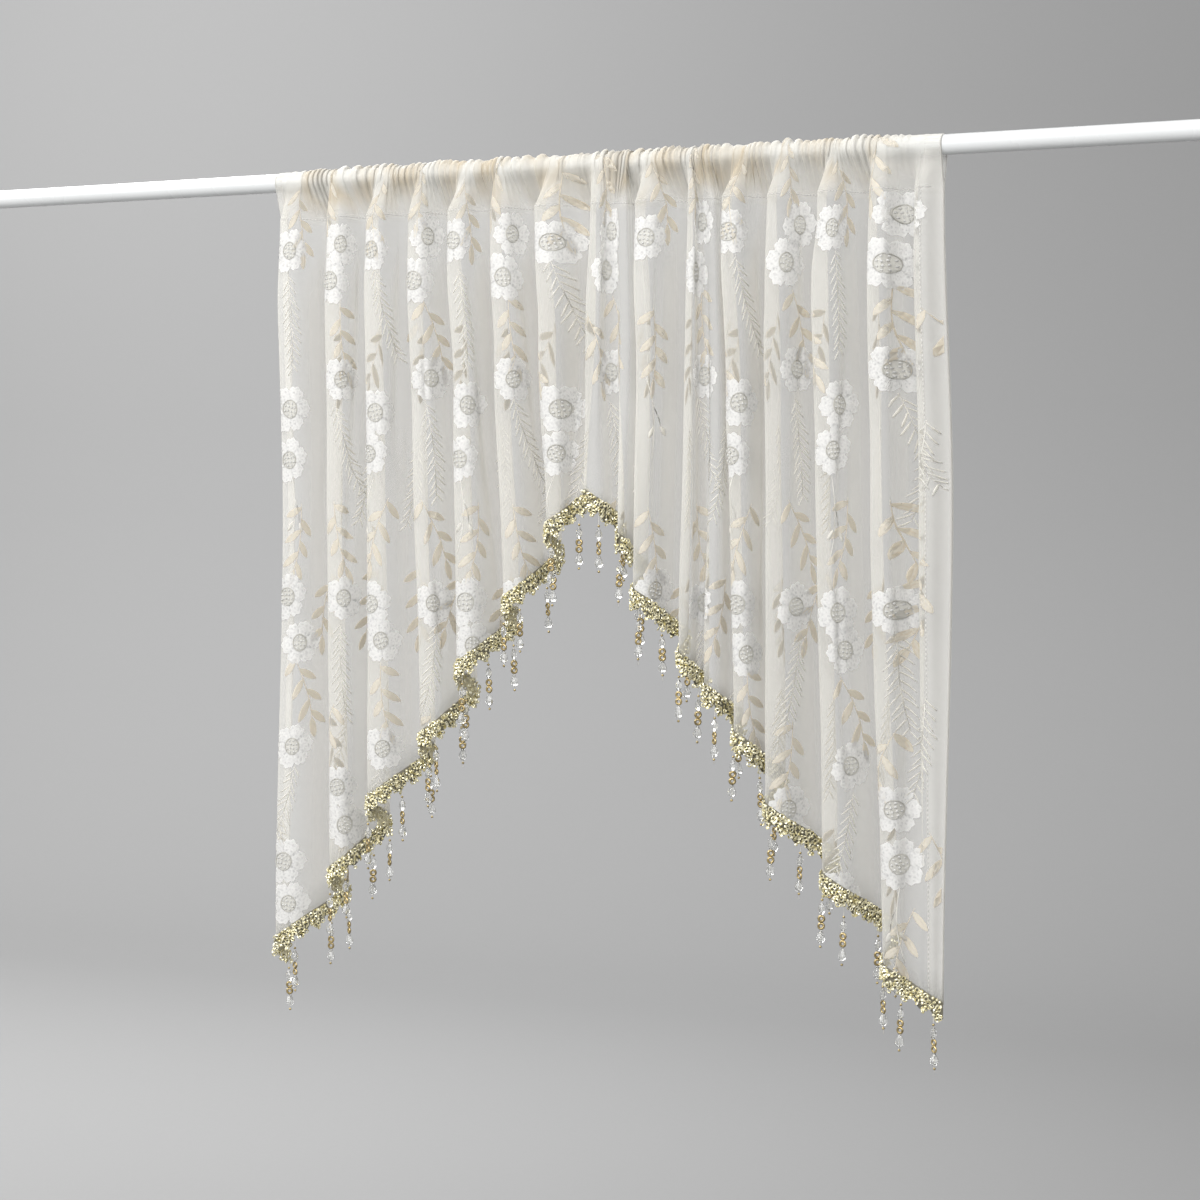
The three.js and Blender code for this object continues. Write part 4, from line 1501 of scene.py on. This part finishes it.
class CURTAIN_OT_sew_braid(bpy.types.Operator):
    """Sew the gilt sequin braid along both halves of the hem"""

    bl_idname = "curtain.sew_braid"
    bl_label = "Sew braid"

    def execute(self, context):
        trim = context.scene.curtain_trim
        cloth = HungCloth(context.scene.curtain_cloth)
        draw = random.Random(SEED)
        gold = gilt("sequin_gilt", trim.pale_gilt, trim.deep_gilt, metal=0.58, roughness=0.16, grain=230.0)
        # The tape's front face takes the net colour darkened as painted shade between the sequins; the back
        # face keeps the net's own colour
        grounds = (net_tape("braid_net_front", darker(trim.net, NET_PAINTED_SHADE), NET_PITCH),
                   net_tape("braid_net_back", trim.net, NET_PITCH))
        forms = [hoop(radius, SEQUIN_TUBE, 8) for radius in SEQUIN_RINGS]
        forms += [cup_sequin(SEQUIN_CUP), round_bead(SEQUIN_BEAD)]
        for side, start, end in (("left", 0.0, cloth.peak), ("right", cloth.peak, cloth.width)):
            self.add_tape(cloth, trim, side, start, end, grounds)
            self.add_sequins(cloth, trim, side, start, end, gold, forms, draw)
        return {"FINISHED"}

    def lower_edge(self, trim, along):
        return trim.height + trim.scallop * np.abs(np.sin(np.pi * along / trim.scallop_pitch))

    def slant(self, cloth, start, end):
        """Length of hem for each length of flat cloth."""
        return math.hypot(1.0, (cloth.side_drop - cloth.peak_drop) / (end - start))

    def add_tape(self, cloth, trim, side, start, end, grounds):
        across = np.linspace(start + TAPE_END_GAP, end - TAPE_END_GAP, TAPE_COLUMNS)
        along = (across - start) * self.slant(cloth, start, end)
        edge = self.lower_edge(trim, along) - SEQUIN_OVERHANG
        rows, flat = [], []
        for share in np.linspace(0.0, 1.0, TAPE_ROWS):
            drop = -TAPE_OVERLAP + share * (edge + TAPE_OVERLAP)
            rows.append(cloth.below_hem(across, drop, np.full_like(across, TAPE_LIFT))[0])
            flat.append(np.stack((along, drop), axis=-1))
        name = "braid_net_" + side
        tape = new_piece(name, gridded(name, np.stack(rows), np.stack(flat)), grounds)
        thicken(tape, TAPE_THICKNESS, 1)

    def add_sequins(self, cloth, trim, side, start, end, gold, forms, draw):
        slant = self.slant(cloth, start, end)
        spots = []
        row_pitch = trim.sequin_pitch * SEQUIN_ROW
        for row in range(int((trim.height + trim.scallop) / row_pitch) + 1):
            drop = row * row_pitch
            along = trim.sequin_pitch * (0.5 if row % 2 else 0.25)
            while along < (end - start) * slant - SEQUIN_OVERHANG:
                if drop <= self.lower_edge(trim, along):
                    across = start + (along + draw.uniform(-SEQUIN_ASIDE, SEQUIN_ASIDE)) / slant
                    lower = drop + draw.uniform(-SEQUIN_DOWN, SEQUIN_DOWN)
                    spots.append((across, lower, draw.uniform(*SEQUIN_LIFT)))
                along += trim.sequin_pitch
        across, drop, lift = np.array(spots).T
        across = np.clip(across, start + SEQUIN_END_GAP, end - SEQUIN_END_GAP)
        drop = np.maximum(drop, -SEQUIN_ABOVE_HEM)
        placed = []
        for outwards, every in ((1.0, 1), (-1.0, 2)):
            stand = outwards * (lift[::every] + TAPE_LIFT)
            points, normals = cloth.below_hem(across[::every], drop[::every], stand)
            for point, normal in zip(points, normals * outwards):
                facing = Vector(normal).to_track_quat("Z", "Y").to_matrix().to_4x4()
                tilt = (Matrix.Rotation(draw.uniform(-SEQUIN_TILT, SEQUIN_TILT), 4, "X")
                        @ Matrix.Rotation(draw.uniform(-SEQUIN_TILT, SEQUIN_TILT), 4, "Y"))
                placed.append((draw.choice(forms), Matrix.Translation(Vector(point)) @ facing @ tilt))
        name = "braid_sequins_" + side
        sequins = new_piece(name, mesh_from(joined(placed), name), (gold,), smooth=False)
        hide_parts("trim_" + side)


class CURTAIN_OT_string_strands(bpy.types.Operator):
    """String the bead strands below the braid"""

    bl_idname = "curtain.string_strands"
    bl_label = "String bead strands"

    def execute(self, context):
        trim = context.scene.curtain_trim
        cloth = HungCloth(context.scene.curtain_cloth)
        draw = random.Random(SEED + 1)
        seed = round_bead(SEED_BEAD)
        ring = hoop(*STRAND_RING, 10)
        ring.transform(Matrix.Rotation(math.pi / 2.0, 4, "X"))
        bicone = lathed(BICONE_PROFILE, 6)
        pear = lathed(PEAR_PROFILE, 8)
        thread = lathed(THREAD_PROFILE, 5)
        glass = crystal("cut_crystal", (0.98, 0.98, 0.96))
        # The deep end of the strands' gilt: partly a real change of tone, partly painted dark reflections
        deep = darker(trim.bead_gilt, 0.55)
        gold = gilt("ring_gilt", trim.bead_gilt, deep, metal=0.8, roughness=0.18, grain=160.0)
        cord = satin_thread("strand_thread", (0.88, 0.86, 0.80), (0.80, 0.78, 0.70), CORD_PITCH)
        gilt_beads = ((seed, SEED_AT), (ring, FIRST_RING_AT), (ring, SECOND_RING_AT), (seed, TIP_AT))
        rows = (
            ("strand_crystals_", ((bicone, BICONE_AT), (pear, PEAR_AT)), glass, "bead_clear", False),
            ("strand_gilt_beads_", gilt_beads, gold, "bead_gold", True),
            ("strand_threads_", ((thread, 0.0),), cord, "thread_white", True),
        )
        for side in ("left", "right"):
            spots = self.roots(cloth, trim, side, draw)
            for kind, beads, material, slot, smooth in rows:
                mesh = mesh_from(joined(self.hung(spots, beads)), kind + side)
                new_piece(kind + side, mesh, (material,), smooth)
        return {"FINISHED"}

    def roots(self, cloth, trim, side, draw):
        """The strands' tops, each with its small turn and tilt."""
        half = cloth.peak if side == "left" else cloth.width - cloth.peak
        count = int((half - trim.strand_edge) / trim.strand_pitch) + 1
        flat = trim.strand_edge + trim.strand_pitch * np.arange(count)
        flat = flat if side == "left" else cloth.width - flat
        place = np.rint(np.interp(flat, cloth.arc, cloth.steps) * 8.0) / 8.0
        across = np.interp(place, cloth.steps, cloth.arc)
        points, _ = cloth.below_hem(across, np.full(count, trim.root_drop), np.zeros(count))
        spots = []
        for point in points:
            tilt = Matrix.Rotation(draw.uniform(-STRAND_TILT, STRAND_TILT), 4, "Y")
            turn = Matrix.Rotation(draw.uniform(*STRAND_TURN), 4, "Z")
            spots.append((Vector(point), tilt, turn, draw.uniform(*STRAND_LENGTH)))
        return spots

    def hung(self, spots, beads):
        """Beads of every strand at their heights below its root."""
        copies = []
        for root, tilt, turn, part in spots:
            for bead, height in beads:
                below = Matrix.Translation((0.0, 0.0, -height * part))
                copies.append((bead, Matrix.Translation(root) @ tilt @ below @ turn))
        return copies


class CURTAIN_OT_record_sheet(bpy.types.Operator):
    """Works out the hung cloth again and keeps nothing of it"""

    bl_idname = "curtain.record_sheet"
    bl_label = "Record sheet"

    def execute(self, context):
        cloth = HungCloth(context.scene.curtain_cloth)
        return {"FINISHED"}


class CURTAIN_PT_panel(bpy.types.Panel):
    """Lists the steps that dress the curtain"""

    bl_label = "Sheer Door Curtain"
    bl_idname = "CURTAIN_PT_panel"
    bl_space_type = "VIEW_3D"
    bl_region_type = "UI"
    bl_category = "Curtain"

    def draw(self, context):
        for operator in OPERATORS:
            self.layout.operator(operator.bl_idname)
        for name in SETTINGS:
            settings = getattr(context.scene, name)
            for key in settings.__annotations__:
                self.layout.prop(settings, key)


SETTINGS = {
    "curtain_cloth": ClothSettings,
    "curtain_threads": ThreadSettings,
    "curtain_trim": TrimSettings,
    "curtain_stage": StageSettings,
}
OPERATORS = (
    CURTAIN_OT_set_stage,
    CURTAIN_OT_paint_rod,
    CURTAIN_OT_hang_cloth,
    CURTAIN_OT_embroider_flowers,
    CURTAIN_OT_embroider_leaves,
    CURTAIN_OT_stitch_seams,
    CURTAIN_OT_sew_braid,
    CURTAIN_OT_string_strands,
    CURTAIN_OT_record_sheet,
)
CLASSES = (*SETTINGS.values(), *OPERATORS, CURTAIN_PT_panel)


def register():
    for made in CLASSES:
        bpy.utils.register_class(made)
    for name, settings in SETTINGS.items():
        setattr(bpy.types.Scene, name, PointerProperty(type=settings))


def unregister():
    for name in SETTINGS:
        delattr(bpy.types.Scene, name)
    for made in reversed(CLASSES):
        bpy.utils.unregister_class(made)


def main():
    register()
    bpy.ops.curtain.set_stage()
    bpy.ops.curtain.paint_rod()
    bpy.ops.curtain.hang_cloth()
    bpy.ops.curtain.embroider_flowers()
    bpy.ops.curtain.embroider_leaves()
    bpy.ops.curtain.stitch_seams()
    bpy.ops.curtain.sew_braid()
    bpy.ops.curtain.string_strands()
    bpy.ops.curtain.record_sheet()


if __name__ == "__main__":
    main()
